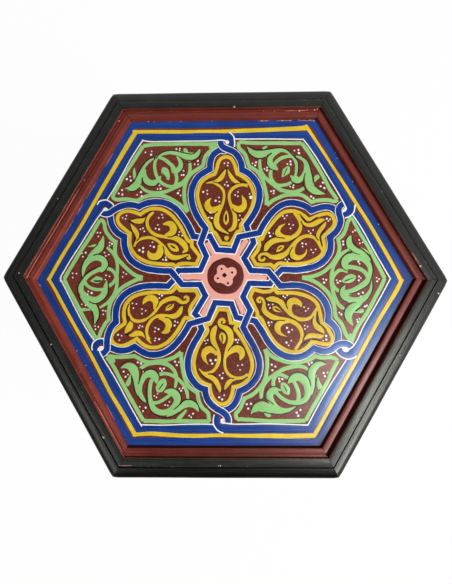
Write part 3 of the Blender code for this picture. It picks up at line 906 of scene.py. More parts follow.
FOOT_TURNS = [
    [(-22.8, 36.5), (-16.8, 23.5), (-23, 9.6), (-45, 9.3), (-48, 3.5)],
    [(-41, -4.8), (-23.5, -4.8), (-17.8, -16), (-28.6, -33.8), (-23.5, -38.4)],
    [(-15, -38.5), (-8.3, -23), (8, -24), (12.8, -37.5), (21, -39.5)],
    [(26.5, -30.5), (19.3, -17.2), (25.8, -3.8), (46.5, -4.4), (50, 1)],
    [(44.5, 8), (27.5, 9), (20.5, 21.3), (30.2, 36.8), (28.5, 44)],
    [(15.5, 42.7), (10, 28.8), (-6, 30), (-13.5, 43.8), (-19.5, 43.2)],
]
RIGHT_LOBES = [
    [(-2.2, 141.5), (-2.3, 138), (-0.5, 135), (3.5, 132.6), (8.5, 130.6), (13.3, 127), (16.8, 121.5),
     (18.6, 116), (19, 111)],
    [(-1.7, 140.5), (-1.7, 138.5), (-0.3, 135), (2.5, 132.5), (6, 131), (12.7, 126.8), (17.5, 121.5),
     (20.6, 115.6), (21.7, 110.5)],
    [(-3.3, 141.5), (-3.2, 138.5), (-1.8, 134.6), (3.5, 131.2), (8.5, 127.8), (13, 123), (16, 118),
     (17.2, 113.2)],
    [(-4.2, 141), (-4.4, 138), (-2.9, 133.5), (1, 129.8), (6.5, 126.8), (11.5, 123), (15.5, 118),
     (17.7, 112), (18, 108)],
    [(-4.8, 142), (-5.2, 138.5), (-4.3, 134.5), (-1.8, 131), (2, 128.3), (7.5, 126), (12, 121.3),
     (13.9, 116), (14.7, 111)],
    [(-5.3, 142), (-5.2, 138.8), (-3.5, 135.2), (1, 132.6), (7, 130.8), (12, 126.5), (15.3, 120.5),
     (16.5, 115), (16.9, 112.6)],
]
RIGHT_BELLIES = [
    [(25, 107.6), (31, 101.6), (35.2, 94), (36.5, 85.7), (35.5, 77.8), (33, 70.3), (28.5, 62.5),
     (23, 54.8)],
    [(27, 107), (33, 100.5), (37, 93), (38.7, 84), (37.8, 75.4), (34.8, 67.4), (30.8, 59.5),
     (22.8, 47.6)],
    [(23.5, 110), (30.5, 104.6), (35, 97.7), (37, 89), (36.5, 80.5), (34, 71.5), (28.8, 61.5),
     (22.2, 51)],
    [(24, 105.7), (29.5, 100.2), (33.5, 93.5), (35, 86), (34.8, 78), (32.8, 70.8), (29, 62.7),
     (24.6, 55.4), (21.5, 49.2)],
    [(21.5, 108.3), (27.8, 103.9), (32.5, 97.5), (35, 90.5), (35.5, 83), (34, 75.5), (30.5, 67.2),
     (26, 59.5), (20.1, 47.8)],
    [(23, 109.8), (29, 105.3), (32.9, 99), (34.7, 91.5), (34.2, 83.8), (31.5, 75.2), (28.1, 67.2),
     (23.5, 60), (20.5, 55.2)],
]
RIGHT_TAILS = [(25.2, 47.5), (25, 42), (24.5, 43.5), (23.5, 44), (21.5, 43), (22.3, 48)]
HOOKS = [
    [(2, 146), (7, 143.5), (8.8, 139.5), (8.4, 133.5)],
    [(2, 145.5), (6.6, 143.5), (8.4, 139.5), (7.6, 133.5)],
    [(4, 144.5), (7.5, 142), (8.4, 138), (6, 132.5)],
    [(1, 146.5), (5, 144), (6.9, 139.5), (6.2, 132.5)],
    [(0, 147), (3.6, 144.5), (5.2, 139.5), (4, 131.5)],
    [(0.5, 147.5), (4, 144.8), (5.4, 140.5), (4.2, 134.5)],
]
HOOK_LINES = [
    [(5.5, 150.3), (8.5, 148), (10.8, 145), (11.5, 141), (11.8, 138), (11.3, 134.5)],
    [(2.6, 148.1), (5.9, 148.3), (8.2, 146.9), (10, 144.9), (11.5, 142.2), (11.6, 138.7), (11.2, 135.2),
     (10, 133.1)],
    [(4.6, 147.1), (7, 146.4), (9.4, 144.6), (11.1, 142.2), (11.8, 138.7), (11.1, 135.2), (8.8, 131.9)],
    [(0.3, 149.8), (3.5, 148.8), (6.5, 146.9), (8.5, 144.3), (9.9, 141.6), (10.2, 138.7), (9.9, 134.6),
     (9.1, 132.2)],
    [(0.5, 150.4), (3.2, 149), (5.8, 146.6), (7.6, 144), (8.5, 140.5), (8.5, 136.4), (7.6, 132.8),
     (6.7, 130.8)],
    [(1.2, 150.8), (4.1, 149), (6.5, 146.9), (7.9, 144.6), (8.6, 141.4), (8.5, 138.1), (7.9, 135.5)],
]
KNOT_BLOBS = [
    [(3.2, 141, 1.0), (4.2, 139.4, 2.0), (3.8, 137.4, 0.9)],
    [(0.5, 139.8, 0.9), (2.8, 138.6, 1.9), (3.2, 136.2, 0.9)],
    [(2, 142.8, 0.6), (2, 140, 2.1), (2.1, 137.6, 2.0), (2.2, 136, 0.7)],
    [(-0.6, 140.2, 0.8), (1.5, 139.3, 1.6), (1.4, 137.4, 1.7), (0.6, 135.8, 0.7)],
    [(-1.2, 140.8, 0.9), (0.1, 139.4, 2.0), (0.5, 136.9, 2.2), (-0.3, 134.4, 0.9)],
    [(-1, 141.8, 0.8), (0.4, 140.4, 1.4), (0.8, 138.2, 1.4), (1.6, 136, 0.6)],
]


def straight(points, step=2.0):
    """Points about every step mm along straight runs between the given ones."""
    given = np.array(points, float)
    runs = []
    for start, end in zip(given[:-1], given[1:]):
        count = max(1, round(np.linalg.norm(end[:2] - start[:2]) / step))
        runs.append(start + (end - start) * np.arange(count)[:, None] / count)
    return np.vstack(runs + [given[-1:]])


def strap_run(pieces, lifts):
    """One strap from end to end, bending smoothly within each piece and sharply between pieces."""
    path = np.vstack([smooth(piece, 1.4)[:-1] for piece in pieces[:-1]] + [straight(pieces[-1])])
    gone = np.concatenate([[0.0], np.cumsum(np.linalg.norm(np.diff(path, axis=0), axis=1))])
    share = gone / gone[-1]
    return path, share, np.interp(share, np.linspace(0, 1, len(lifts)), lifts)


def strap_stroke(path, share, height, half_widths, extra):
    """A stroke along a strap. Its half widths are spread evenly from one end to the other."""
    widths = np.interp(share, np.linspace(0, 1, len(half_widths)), half_widths)
    return np.column_stack([path, widths, height + extra])


for k in range(SIDES):
    turn = 60 * k
    over = strap_run(
        [turned(LEFT_LOBES[k], turn), turned(LEFT_LOBES[k][-1:] + LEFT_BELLIES[k], turn),
         turned(LEFT_BELLIES[k][-1:], turn) + FOOT_TURNS[k]],
        (UNDER, OVER, OVER, OVER, UNDER, UNDER),
    )
    under = strap_run(
        [turned(RIGHT_LOBES[k], turn), turned(RIGHT_LOBES[k][-1:] + RIGHT_BELLIES[k], turn),
         turned([RIGHT_BELLIES[k][-1], RIGHT_TAILS[k]], turn)],
        (OVER, OVER, BETWEEN, UNDER, UNDER),
    )
    hook = smooth(turned(with_width(HOOKS[k], 2.9), turn))
    hook_line = smooth(turned(with_width(HOOK_LINES[k], 0.65), turn))
    blob = smooth(turned(KNOT_BLOBS[k], turn))
    edges = [strap_stroke(*over, OVER_EDGE, 0.0), strap_stroke(*under, UNDER_EDGE, 0.0)]
    blues = [strap_stroke(*over, OVER_BLUE, BLUE_ABOVE), strap_stroke(*under, UNDER_BLUE, BLUE_ABOVE)]
    on_panel(f"strap_{k + 1}_white", edges, white_lines)
    on_panel(f"strap_{k + 1}_blue", blues, strap_blue)
    on_panel(f"knot_{k + 1}_hook", [hook], strap_blue, 0.13)
    on_panel(f"knot_{k + 1}_white", [hook_line, blob], white_lines, 0.68)

# Rosette
# The middle is painted pink between the straps, with a deep red disc and a four-lobed pink flower
# on it. Pink spokes run out between the straps and end at their crossings.
PINK = (238, 168, 152)
DEEP_RED = (94, 34, 28)
LINE_BLACK = (22, 20, 17)
ROSETTE = (2.2, 3.5)
DISC_HALF = 9.2
PINK_RADIUS, PINK_HALF = 21.0, 4.6
SPOKE_HALF = 3.3
SPOKES = [
    [(-9, 25), (-16, 37.5)], [(14, 25.5), (23.3, 40)], [(22, 2.6), (43, 1.3)], [(13, -16.5), (20, -34)],
    [(-9.5, -16), (-22, -37)], [(-18, 2.8), (-42.5, 3)],
]
FLOWER_MIDDLE = (1.5, 4.2)
FLOWER = [
    (-1.7, 9.9, 4.9), (8.3, 7.6, 5.0), (4.7, -1.7, 4.7), (-4.6, 1.4, 4.8), (3.1, 8.2, 3.7),
    (6.6, 3.2, 3.7), (0.2, -0.6, 3.5), (-3.4, 5.4, 3.5), (*FLOWER_MIDDLE, 6.5),
]
FLOWER_EYES = [(-1.7, 10.6), (8.7, 7), (4.5, -3.6), (-5.5, 1.4)]
EYE_RADIUS = 1.15
FLOWER_HEART = [(-1.5, 4.4, 0.1), (1.1, 4.4, 2.6), (3.7, 4.4, 0.1)]


def circle(centre, radius, half_width):
    x, y = centre
    turns = [2 * math.pi * i / 60 for i in range(61)]
    return [(x + radius * math.cos(t), y + radius * math.sin(t), half_width) for t in turns]


pink_paint = design_paint("rosette_pink_paint", PINK, 0.10, 0.10)
deep_red = design_paint("rosette_deep_red_paint", DEEP_RED, 0.25, 0.15)
fine_black = design_paint("fine_black_paint", LINE_BLACK, 0.2, 0.2)
pink_strokes = [circle(ROSETTE, PINK_RADIUS, PINK_HALF)]
pink_strokes += [with_width(straight(spoke), SPOKE_HALF) for spoke in SPOKES]
on_panel("rosette_pink", pink_strokes, pink_paint, -0.05)
on_panel("rosette_disc", [circle(ROSETTE, DISC_HALF - 0.1, DISC_HALF)], deep_red, 0.06)
on_panel("rosette_flower", [dot(*petal) for petal in FLOWER], pink_paint, 0.36)
eyes = [dot(x, y, EYE_RADIUS) for x, y in FLOWER_EYES]
on_panel("rosette_eyes", eyes + [FLOWER_HEART], fine_black, 0.57)

# Medallions
# Inside each strap a yellow band follows its outline, and a yellow arabesque fills the field: two
# leaves, two scrolls with comma hooks, and an almond in a drop. Black lines and white dots finish it.
BAND_HALF = 1.8
LINE_HALF = 0.52
LINE_LIFT, DOT_LIFT = 0.20, 0.12


def band_loop(lobe, right_belly, foot, left_belly):
    """The band round a medallion, closed: smooth along lobe and bellies, straight along the foot."""
    runs = [smooth(lobe)[:-1], smooth([lobe[-1]] + right_belly)[:-1]]
    runs += [straight([right_belly[-1]] + foot), straight([foot[-1], left_belly[0]])[1:-1]]
    runs += [smooth(left_belly + [lobe[0]])]
    return with_width(np.vstack(runs), BAND_HALF)


def black_and_white(name, lines, dots, turn):
    """Finishes a field of the design with fine black lines and touches of white."""
    black = [smooth([(*spot, LINE_HALF)[:3] for spot in line]) for line in lines]
    on_panel(f"{name}_lines", black, fine_black, LINE_LIFT, turn)
    on_panel(f"{name}_dots", [dot(*spot) for spot in dots], white_lines, DOT_LIFT, turn)


def medallion(k, band, strokes, lines, dots):
    """Paints medallion k + 1. Points are in mm in the frame turned so that the medallion points up."""
    yellow = [band_loop(*band)] + [smooth(stroke) for stroke in strokes]
    on_panel(f"medallion_{k + 1}_yellow", yellow, band_yellow, turn=60 * k)
    black_and_white(f"medallion_{k + 1}", lines, dots, 60 * k)


medallion(0, band=(
    [(-8.7, 106.9), (-6.4, 112.5), (-4.9, 118.5), (-2, 122.8), (2.8, 124.5), (7.6, 123), (10.7, 118.5),
     (12.8, 112.3), (14.2, 106.9)],
    [(20.8, 103.2), (25.7, 98.4), (29.1, 92.1), (30.6, 86), (30.4, 79.7), (28.8, 73.4), (25.7, 66.5),
     (21.5, 60.2), (17.3, 54), (18.4, 49.8)],
    [(13.9, 47.8), (7.4, 35.9), (-2.2, 36.6), (-7.6, 46.4)],
    [(-11.8, 49.7), (-11.3, 52), (-14.6, 57.5), (-18.7, 63.7), (-22.2, 70.7), (-24.6, 77.6), (-26, 84.5),
     (-25, 91.5), (-22.2, 98.4), (-17.3, 102.9)],
), strokes=[
    [(2.8, 112.6, 0.2), (1.6, 109.5, 1.2), (-0.6, 105.5, 2.3), (-3.8, 101.5, 2.3), (-8, 99.6, 1.4),
     (-12.5, 98.6, 1.2), (-17, 97.6, 0.4)],
    [(-11, 98.4, 0.8), (-7, 96.7, 1.2), (-2.8, 93.8, 1.3), (0.2, 89.5, 1.2), (0.9, 84.5, 1.2),
     (0.2, 79, 1.3), (-1.5, 74, 1.4), (-3.8, 69.5, 1.8), (-6.2, 64, 2.5), (-7, 58.5, 2.8),
     (-5.4, 53.5, 2.4), (-2, 50.2, 1.7), (2, 47.8, 1.1), (5.5, 46, 0.5)],
    [(-12, 82.2, 0.3), (-14.8, 79.5, 1.6), (-16, 75.5, 3), (-14, 71.3, 3.2), (-9.8, 69.9, 3.4),
     (-5.5, 71.5, 2.9), (-2.2, 75, 1.6)],
    [(4.6, 112.2, 0.3), (6.4, 108, 1.6), (9, 103.3, 2.5), (12.3, 99.6, 2.1), (16.5, 97.3, 0.6)],
    [(24.6, 94.6, 1.6), (19.5, 95.6, 1.5), (13.5, 94.4, 1.5), (9, 91.3, 1.5), (6.4, 87, 1.4),
     (6, 82.5, 1.4), (7, 77.5, 1.5), (9, 72, 1.6), (11, 66.5, 1.8), (11.8, 61, 2.1), (11.5, 55.5, 2.2),
     (9.2, 51, 1.9), (5, 49, 1)],
    [(18.7, 84.8, 0.3), (20, 82, 1.4), (21.2, 78, 2.3), (20.4, 73.4, 3), (16.4, 70.7, 3.4),
     (12.5, 71.9, 2.5), (8.6, 75.5, 1.3)],
    [(3.2, 69.8, 0.3), (3, 66, 1.9), (2.9, 61, 2.9), (2.8, 57.5, 2.2), (2.8, 55.2, 0.5)],
    dot(3.1, 41.2, 2.7),
], lines=[
    [(-17, 99.6), (-11, 100.4), (-7.6, 101.9), (-3.5, 106), (0.5, 110.8), (3, 112.8)],
    [(3.6, 113.4, 0.5), (3.9, 110.6, 0.7), (3.7, 106, 0.3)],
    [(5.2, 112.3), (9, 107), (13.2, 101.8), (17, 99.2), (24, 98)],
    [(-10, 99.1), (-4.2, 98), (-2, 99.1)],
    [(8.3, 94.9), (12, 96.3), (16, 97)],
    [(-18.7, 70.7), (-16, 67.5), (-11.8, 66.1), (-7.6, 67.2), (-5.5, 69)],
    [(8.7, 71.7), (11.8, 67.9), (14.6, 66.6), (18.7, 67.5)],
    [(-10.4, 60.2), (-10.4, 54.7), (-7.6, 49.8), (-3.5, 47.1), (2.1, 46.2)],
    [(1.4, 50.5), (4.5, 48.2), (7.5, 46.8)],
    [(2.9, 66.4, 0.3), (2.8, 62, 1.1), (2.6, 58, 0.5)],
    [(0.3, 42.5), (1.6, 39), (4.4, 38.6), (5.8, 41)],
], dots=[
    (1.2, 117.9), (5, 118.2), (4.5, 115.4), (3.5, 98.6), (1.5, 95.9), (4.7, 94.9, 1), (-20.1, 88.7, 1.1),
    (-16.1, 90.2), (-15.9, 86.6), (-4.3, 82.8), (-7.6, 79.7, 1.1), (-3.9, 78.6), (14.8, 88.3),
    (11.9, 85.3), (14.8, 84), (26.4, 86.3), (27.7, 82.8, 1.7), (-13, 67.2, 1), (-14.7, 62.5),
    (-11.6, 62.1, 1), (16.6, 64.4), (15.4, 59.8), (18.7, 60.6),
])
medallion(1, band=(
    [(-6.2, 104.6), (-4.9, 112.3), (-3.5, 118.5), (-0.3, 122.7), (3.8, 124), (8.3, 122.5), (12.1, 118.5),
     (14.2, 113.6), (15.6, 105.3)],
    [(21.5, 102.6), (25.7, 99.1), (28.8, 94.2), (30.9, 88.7), (31.2, 83.1), (30.5, 77.6), (28.4, 71.3),
     (25.7, 65.1), (22.2, 59.6), (18, 53.3), (16.4, 49.8), (17.4, 46.6)],
    [(13.5, 44.3), (8.6, 32.3), (0, 31.3), (-4.2, 40.1), (-8.2, 46)],
    [(-12.6, 47.8), (-11.8, 51.2), (-14.2, 55.4), (-16.6, 60.3), (-19.4, 66.5), (-21.8, 72.7),
     (-22.9, 79), (-22.9, 84.5), (-21.8, 90.1), (-19.4, 94.9), (-15.3, 99.4), (-10.4, 102.4)],
), strokes=[
    [(2.6, 109.2, 0.3), (1.2, 106.5, 1.4), (-0.6, 102.5, 2.2), (-3, 98.6, 2.2), (-6.5, 95.8, 1.2),
     (-9.5, 95.3, 0.5)],
    [(-15.6, 94.2, 0.8), (-10.4, 94.6, 1.3), (-6.2, 92.8, 1.4), (-2.1, 88.7, 1.4), (0.7, 83.8, 1.5),
     (1.4, 79, 1.5), (0.7, 74.1, 1.4), (-0.7, 69.3, 1.6), (-2.8, 65.1, 2.1), (-5.3, 60.9, 2.7),
     (-6, 56.8, 2.6), (-4.7, 52.6, 2.3), (-2.1, 49.2, 1.9), (2.1, 45, 1.3), (4.9, 41.5, 0.6)],
    [(-11.8, 79.8, 0.3), (-14, 78, 1.8), (-15.4, 74.5, 3.1), (-13.6, 70.4, 3.4), (-9.5, 68.4, 3.7),
     (-5, 69.8, 3), (-1.6, 73.5, 1.5)],
    [(5.6, 110.4, 0.3), (7, 107, 1.9), (9, 103.5, 2.8), (11.8, 100.2, 2.2), (16.3, 98.4, 0.4)],
    [(24.3, 94.8, 0.8), (21.5, 96, 1.5), (17.3, 96.7, 1.5), (12.5, 95.6, 1.5), (8.3, 92.1, 1.6),
     (5.9, 87.3, 1.6), (5.5, 81.7, 1.6), (6.9, 76.2, 1.6), (9, 70.7, 1.7), (11.5, 65.1, 2.2),
     (12.5, 60.2, 2.6), (12, 55.4, 2.8), (10.6, 50.8, 2.8), (7.4, 47.4, 2.1), (3, 48.8, 0.8)],
    [(18, 80.6, 0.3), (20.5, 78, 1.8), (22.3, 74.5, 2.9), (21.2, 70.4, 3.3), (17.3, 68.1, 3.5),
     (13, 69.8, 2.6), (9.5, 72.8, 1.4)],
    [(3.6, 66.7, 0.4), (3.5, 63.5, 2.4), (3.3, 59.5, 3.6), (3, 56, 2.8), (2.8, 53.2, 0.5)],
    dot(1.9, 40.8, 2.5),
], lines=[
    [(3.6, 113, 0.5), (4.3, 110, 0.8), (3.9, 106, 0.3)],
    [(-15, 95.9), (-9.5, 97.2), (-5, 100.2), (-2.4, 105), (2.2, 109.6)],
    [(6.9, 110.7), (10.4, 107.4), (13.2, 102.6), (17.3, 99.8), (23, 98), (24.3, 97)],
    [(-9.4, 94.9), (-4.9, 94.2), (-2.1, 95)],
    [(8.3, 95.2), (11.8, 98), (16.3, 98.4)],
    [(-18.7, 70.7), (-16, 66.5), (-10.4, 64.4), (-4.9, 65.5), (-0.7, 69.6)],
    [(9.4, 70), (12.5, 65.8), (15.3, 64.1), (20.1, 64.8)],
    [(-10.4, 56.8), (-7.6, 50.5), (-4.2, 47.1), (0, 44.3), (3.5, 42)],
    [(1.4, 48.5), (5.5, 45), (6.2, 43.6)],
    [(3.7, 63.2, 0.3), (3.5, 60, 0.9), (3.5, 57, 0.4)],
    [(-0.8, 42), (0, 38.8), (2.6, 38), (4.6, 40)],
], dots=[
    (3.8, 119.2), (7.6, 116.9), (4.3, 115.9), (2.8, 97.6), (5, 95.8), (2.8, 93.1), (-16, 87.8, 1.2),
    (-12.3, 85.6, 1.1), (-15.7, 83.9, 1.2), (-6.8, 80.4), (-2.7, 80.5), (-6, 76.8, 1.1), (10.9, 84.7),
    (15.1, 84.6), (12, 81.3, 1), (21.8, 87.4), (26.2, 86.3), (24, 83.9), (-12.5, 62.5), (-9.3, 61.3),
    (-11.2, 59.6, 1.1), (16.8, 61.3), (19.8, 62.1), (17.8, 58),
])
medallion(2, band=(
    [(-7.6, 103.4), (-7.6, 109), (-7.6, 113.6), (-6.6, 118.5), (-4.2, 122.7), (-1, 125.1), (2.4, 125.8),
     (5.9, 125), (9, 121.3), (10.4, 116.4), (11.1, 110.9), (11.8, 105.3)],
    [(16.6, 104.3), (21.5, 101.9), (25.7, 98.4), (28.8, 93.5), (30.2, 88.7), (30.2, 83.8), (29.1, 78.3),
     (27, 72.7), (24.3, 66.5), (20.8, 60.9), (17.3, 54.7), (15.7, 50.5), (16.2, 47.8), (18.4, 43.6)],
    [(12.5, 42.6), (4.3, 29.1), (-1.7, 29.6), (-6.2, 40.1), (-9.5, 44)],
    [(-18, 47.6), (-13.9, 51.6), (-16.6, 56.8), (-19.4, 61.6), (-22.2, 67.2), (-24.6, 73.4), (-26, 79.7),
     (-26, 84.5), (-25, 90.1), (-22.5, 94.9), (-18.7, 99.1), (-13.2, 101.9)],
), strokes=[
    [(-0.6, 109, 0.3), (-2.2, 105.5, 1.8), (-2.8, 101.5, 2.7), (-4.8, 97.8, 2.3), (-9.5, 95.4, 1.3),
     (-14.5, 94.2, 1), (-19, 93.4, 0.4)],
    [(-14.6, 92.3, 0.8), (-10.4, 92.8, 1.2), (-6.2, 91.5, 1.4), (-2.1, 88, 1.5), (0.7, 83.1, 1.5),
     (2.1, 78.3, 1.7), (1, 73.4, 1.7), (-1, 69.3, 1.6), (-4.2, 65.1, 1.8), (-6.6, 60.9, 2.5),
     (-7.3, 56.8, 2.8), (-5.9, 53.3, 2.5), (-3.5, 49.8, 1.7), (-2.1, 48.3, 0.8)],
    [(-14.6, 79.4, 0.3), (-15.6, 77, 1.7), (-15.6, 74.2, 2.7), (-13.4, 70.3, 3.3), (-8.6, 68.4, 3.6),
     (-3.8, 70.6, 2.6), (-0.5, 74.3, 1.4)],
    [(3, 111, 0.4), (4.4, 108, 2.2), (6, 104.5, 3.1), (8.4, 101.4, 2.4), (11, 99.3, 0.8)],
    [(26.7, 92.5, 0.5), (22.9, 95.6, 1), (18.7, 97.7, 1.2), (13.9, 98.4, 1.5), (9.7, 97, 1.5),
     (6.6, 93.5, 1.6), (4.9, 88.7, 1.5), (4.3, 83.8, 1.4), (5.2, 79, 1.4), (6.9, 74.1, 1.4),
     (9.4, 69.3, 1.6), (11, 64.4, 1.9), (11.1, 60.2, 2.1), (10.5, 56.1, 2.2), (8.8, 51.9, 2.3),
     (5.5, 49, 2.1), (2.1, 47.6, 1.9), (-0.1, 45, 1.6), (-0.4, 41.8, 1.5), (1.5, 39.6, 1.4),
     (3.8, 40.2, 1.3), (4.2, 42.4, 0.9), (2.8, 43.1, 0.4)],
    [(19, 81.4, 0.3), (20.8, 78.8, 1.7), (21.7, 74.8, 2.7), (20.2, 70.8, 3.1), (16.4, 69, 3.1),
     (12.3, 70.7, 2.4), (8.8, 73.8, 1.2)],
    [(2.3, 65, 0.3), (2.8, 62.5, 2), (3, 59.5, 2.7), (3.3, 56.6, 1.7), (3.8, 54.6, 0.3)],
], lines=[
    [(-0.9, 108.6, 0.5), (0.8, 110.4, 0.6), (2.4, 111.4, 0.3)],
    [(0.7, 109.8, 0.6), (1.2, 105.5, 0.3)],
    [(-12, 95.3), (-8.5, 94.7), (-4.5, 94.6)],
    [(9.5, 105.5), (13, 102.4), (18.7, 99.6), (23.5, 97), (26.5, 93.1)],
    [(7.6, 98.6), (11, 99.8), (16, 99.4)],
    [(2.8, 86.5), (3.4, 80), (3.6, 76)],
    [(9.4, 71.5), (11.2, 68.5), (13, 66.3)],
    [(-17, 70.5), (-14.6, 66.8), (-10, 64.9), (-6.4, 65.4), (-3.2, 69)],
    [(-10.2, 60), (-9.9, 54.5), (-7.3, 50.4), (-3, 47.6)],
    [(-0.4, 50.6), (-1.8, 48.2), (-2, 45)],
    [(13.2, 56.5), (12, 51.3), (8.6, 47.2)],
    [(3.4, 62.3, 0.3), (3.7, 59.5, 0.6), (4.2, 56, 0.5)],
], dots=[
    (-0.1, 119.1), (5.2, 117.7, 1), (2.6, 115.1), (0.8, 96.4), (2.1, 94.4), (0.1, 92.8), (-18.2, 89),
    (-16.5, 87.2), (-19.1, 84.5, 1), (-10.4, 84.5), (-7.5, 82.2), (-10.2, 80.2, 1), (20.5, 91.5),
    (25.1, 90), (22.7, 86.9), (11.4, 86.7), (15.3, 84.5), (12.1, 82.2), (-15.1, 64.6, 1), (-11.8, 62.2),
    (-14, 60.5), (16.2, 64.1), (19.4, 62.5), (17.1, 60.7, 1),
])
medallion(3, band=(
    [(-9.4, 105.6), (-8.7, 110.2), (-7.6, 114.3), (-5.9, 118.2), (-3.1, 120.9), (0.4, 122.2),
     (4.2, 121.8), (7.6, 119.9), (10.1, 116.8), (11.8, 113), (13.2, 108.8), (13.8, 104)],
    [(17.3, 102.9), (21.5, 100.5), (25.3, 96.7), (27.7, 92.1), (28.8, 87.3), (29.3, 82.4), (28.4, 76.2),
     (26.7, 70), (23.9, 63.7), (20.5, 58.2), (17.3, 54), (15.9, 50.5), (17.8, 45.2)],
    [(13.2, 43.6), (5, 29.3), (-4.7, 30.2), (-7.2, 42.6)],
    [(-16, 43.8), (-11.6, 48.2), (-14.6, 52.9), (-17.7, 57.5), (-20.8, 63), (-23.6, 68.6), (-26, 74.1),
     (-27.7, 79.7), (-28.1, 85.2), (-27, 90.8), (-24.6, 96.3), (-20.8, 101.2), (-15.3, 104.3)],
), strokes=[
    [(-0.8, 108.2, 0.3), (-2.6, 104.8, 1.7), (-4.8, 101.3, 2.2), (-7.6, 98.8, 1.8), (-11.5, 98.4, 1.2)],
    [(-23.6, 92.8, 1), (-20.1, 95.6, 1.4), (-15.3, 97, 1.5), (-10.4, 96.7, 1.6), (-6.2, 94.2, 1.5),
     (-3.1, 90.8, 1.4), (-1.4, 85.9, 1.3), (-1, 81.1, 1.3), (-1.5, 76.2, 1.3), (-2.4, 72, 1.4),
     (-3.8, 67.9, 1.8), (-5.9, 63.7, 2.5), (-7.3, 59.6, 3), (-7.2, 55.4, 3), (-5.4, 51.2, 3),
     (-2.1, 48, 2.6), (1.4, 46.7, 1.9), (3.8, 44.6, 1.5), (4.1, 41.5, 1.5), (2.1, 39.3, 1.5),
     (-0.3, 40.1, 1.4), (-0.6, 42.4, 1.1), (1, 43.3, 0.5)],
    [(-16, 79.6, 0.4), (-17.2, 77, 1.8), (-18, 73.4, 2.9), (-16.4, 69.6, 3.4), (-12.8, 68.3, 3.6),
     (-8.6, 69.8, 2.9), (-4.8, 73, 1.8), (-2.2, 76.5, 1)],
    [(3.4, 110.8, 0.4), (4.2, 107.5, 1.7), (5.9, 103, 2.2), (8.6, 98.8, 2.4), (12.5, 96, 2.3),
     (17, 94.6, 1.4), (20, 92.6, 0.8)],
    [(23.9, 87.6, 0.4), (21.5, 91.1, 1.1), (18, 92.6, 1.6), (13.9, 91.8, 1.5), (9.7, 89.4, 1.4),
     (6.6, 85.2, 1.7), (4.9, 80.4, 1.9), (4.5, 75.5, 1.7), (5.5, 70.7, 1.9), (7.6, 65.8, 2),
     (9.7, 61.6, 2.4), (10.6, 57.5, 2.6), (10.3, 53.3, 2.7), (9, 49.2, 2.5), (6.6, 45.7, 0.8)],
    [(14.8, 84, 0.2), (16.8, 81.6, 0.8), (18.6, 78.6, 1.7), (19.4, 74.6, 2.6), (17.6, 70.8, 3.3),
     (13.6, 69, 3.4), (9.6, 70.8, 2.2), (7, 74.5, 1.1)],
    [(0.2, 63.5, 0.3), (0.4, 61, 1.9), (0.9, 57.5, 3.4), (1.4, 54.3, 2.6), (1.7, 52.2, 0.6)],
], lines=[
    [(-0.9, 108.6, 0.4), (0.6, 109.2, 0.7), (2.6, 111.4, 0.3)],
    [(-23.8, 96.2), (-18.7, 98.6), (-13, 100.6), (-9.5, 102.5)],
    [(5.2, 110.4), (8.3, 106), (10.6, 101.8), (16, 98.6), (20.1, 95.6), (23.6, 90.1)],
    [(-10.4, 97.6), (-6.5, 97.2), (-3.8, 98.6)],
    [(7.6, 95.6), (11.1, 92.7), (15.3, 93.3)],
    [(0.7, 84.5), (1, 80), (1, 75)],
    [(-20.8, 68.6), (-18, 65.1), (-13.2, 64.1), (-8.3, 66.1), (-4.2, 70.7)],
    [(6.9, 70), (10.2, 66.2), (13, 63.6), (17.5, 64.2)],
    [(-10.5, 58), (-10.2, 52.5), (-7.6, 47.1), (-4, 44.9)],
    [(4.8, 50), (5.9, 47), (6.2, 45)],
    [(-3.6, 58, 0.4), (-2.4, 53.5, 0.5), (1.2, 50, 0.5), (4, 50.4, 0.3)],
    [(1.2, 62, 0.4), (1.2, 58.5, 0.7), (1.7, 54.6, 0.6)],
], dots=[
    (1.5, 117.7, 1.1), (4.3, 115.6, 1.1), (-0.5, 113.6), (1.5, 97, 1.1), (3.8, 94.2), (0.6, 92.1),
    (-16.2, 89), (-13.9, 84.8), (-18.2, 84), (11.2, 82.9, 1.1), (7.9, 79.3, 1.1), (12.8, 79.7, 1.2),
    (-13.7, 62.2), (-14.8, 59.6), (-12.1, 59.6, 1.1), (17.1, 63.4), (15.6, 59.7), (18.4, 60.4),
])
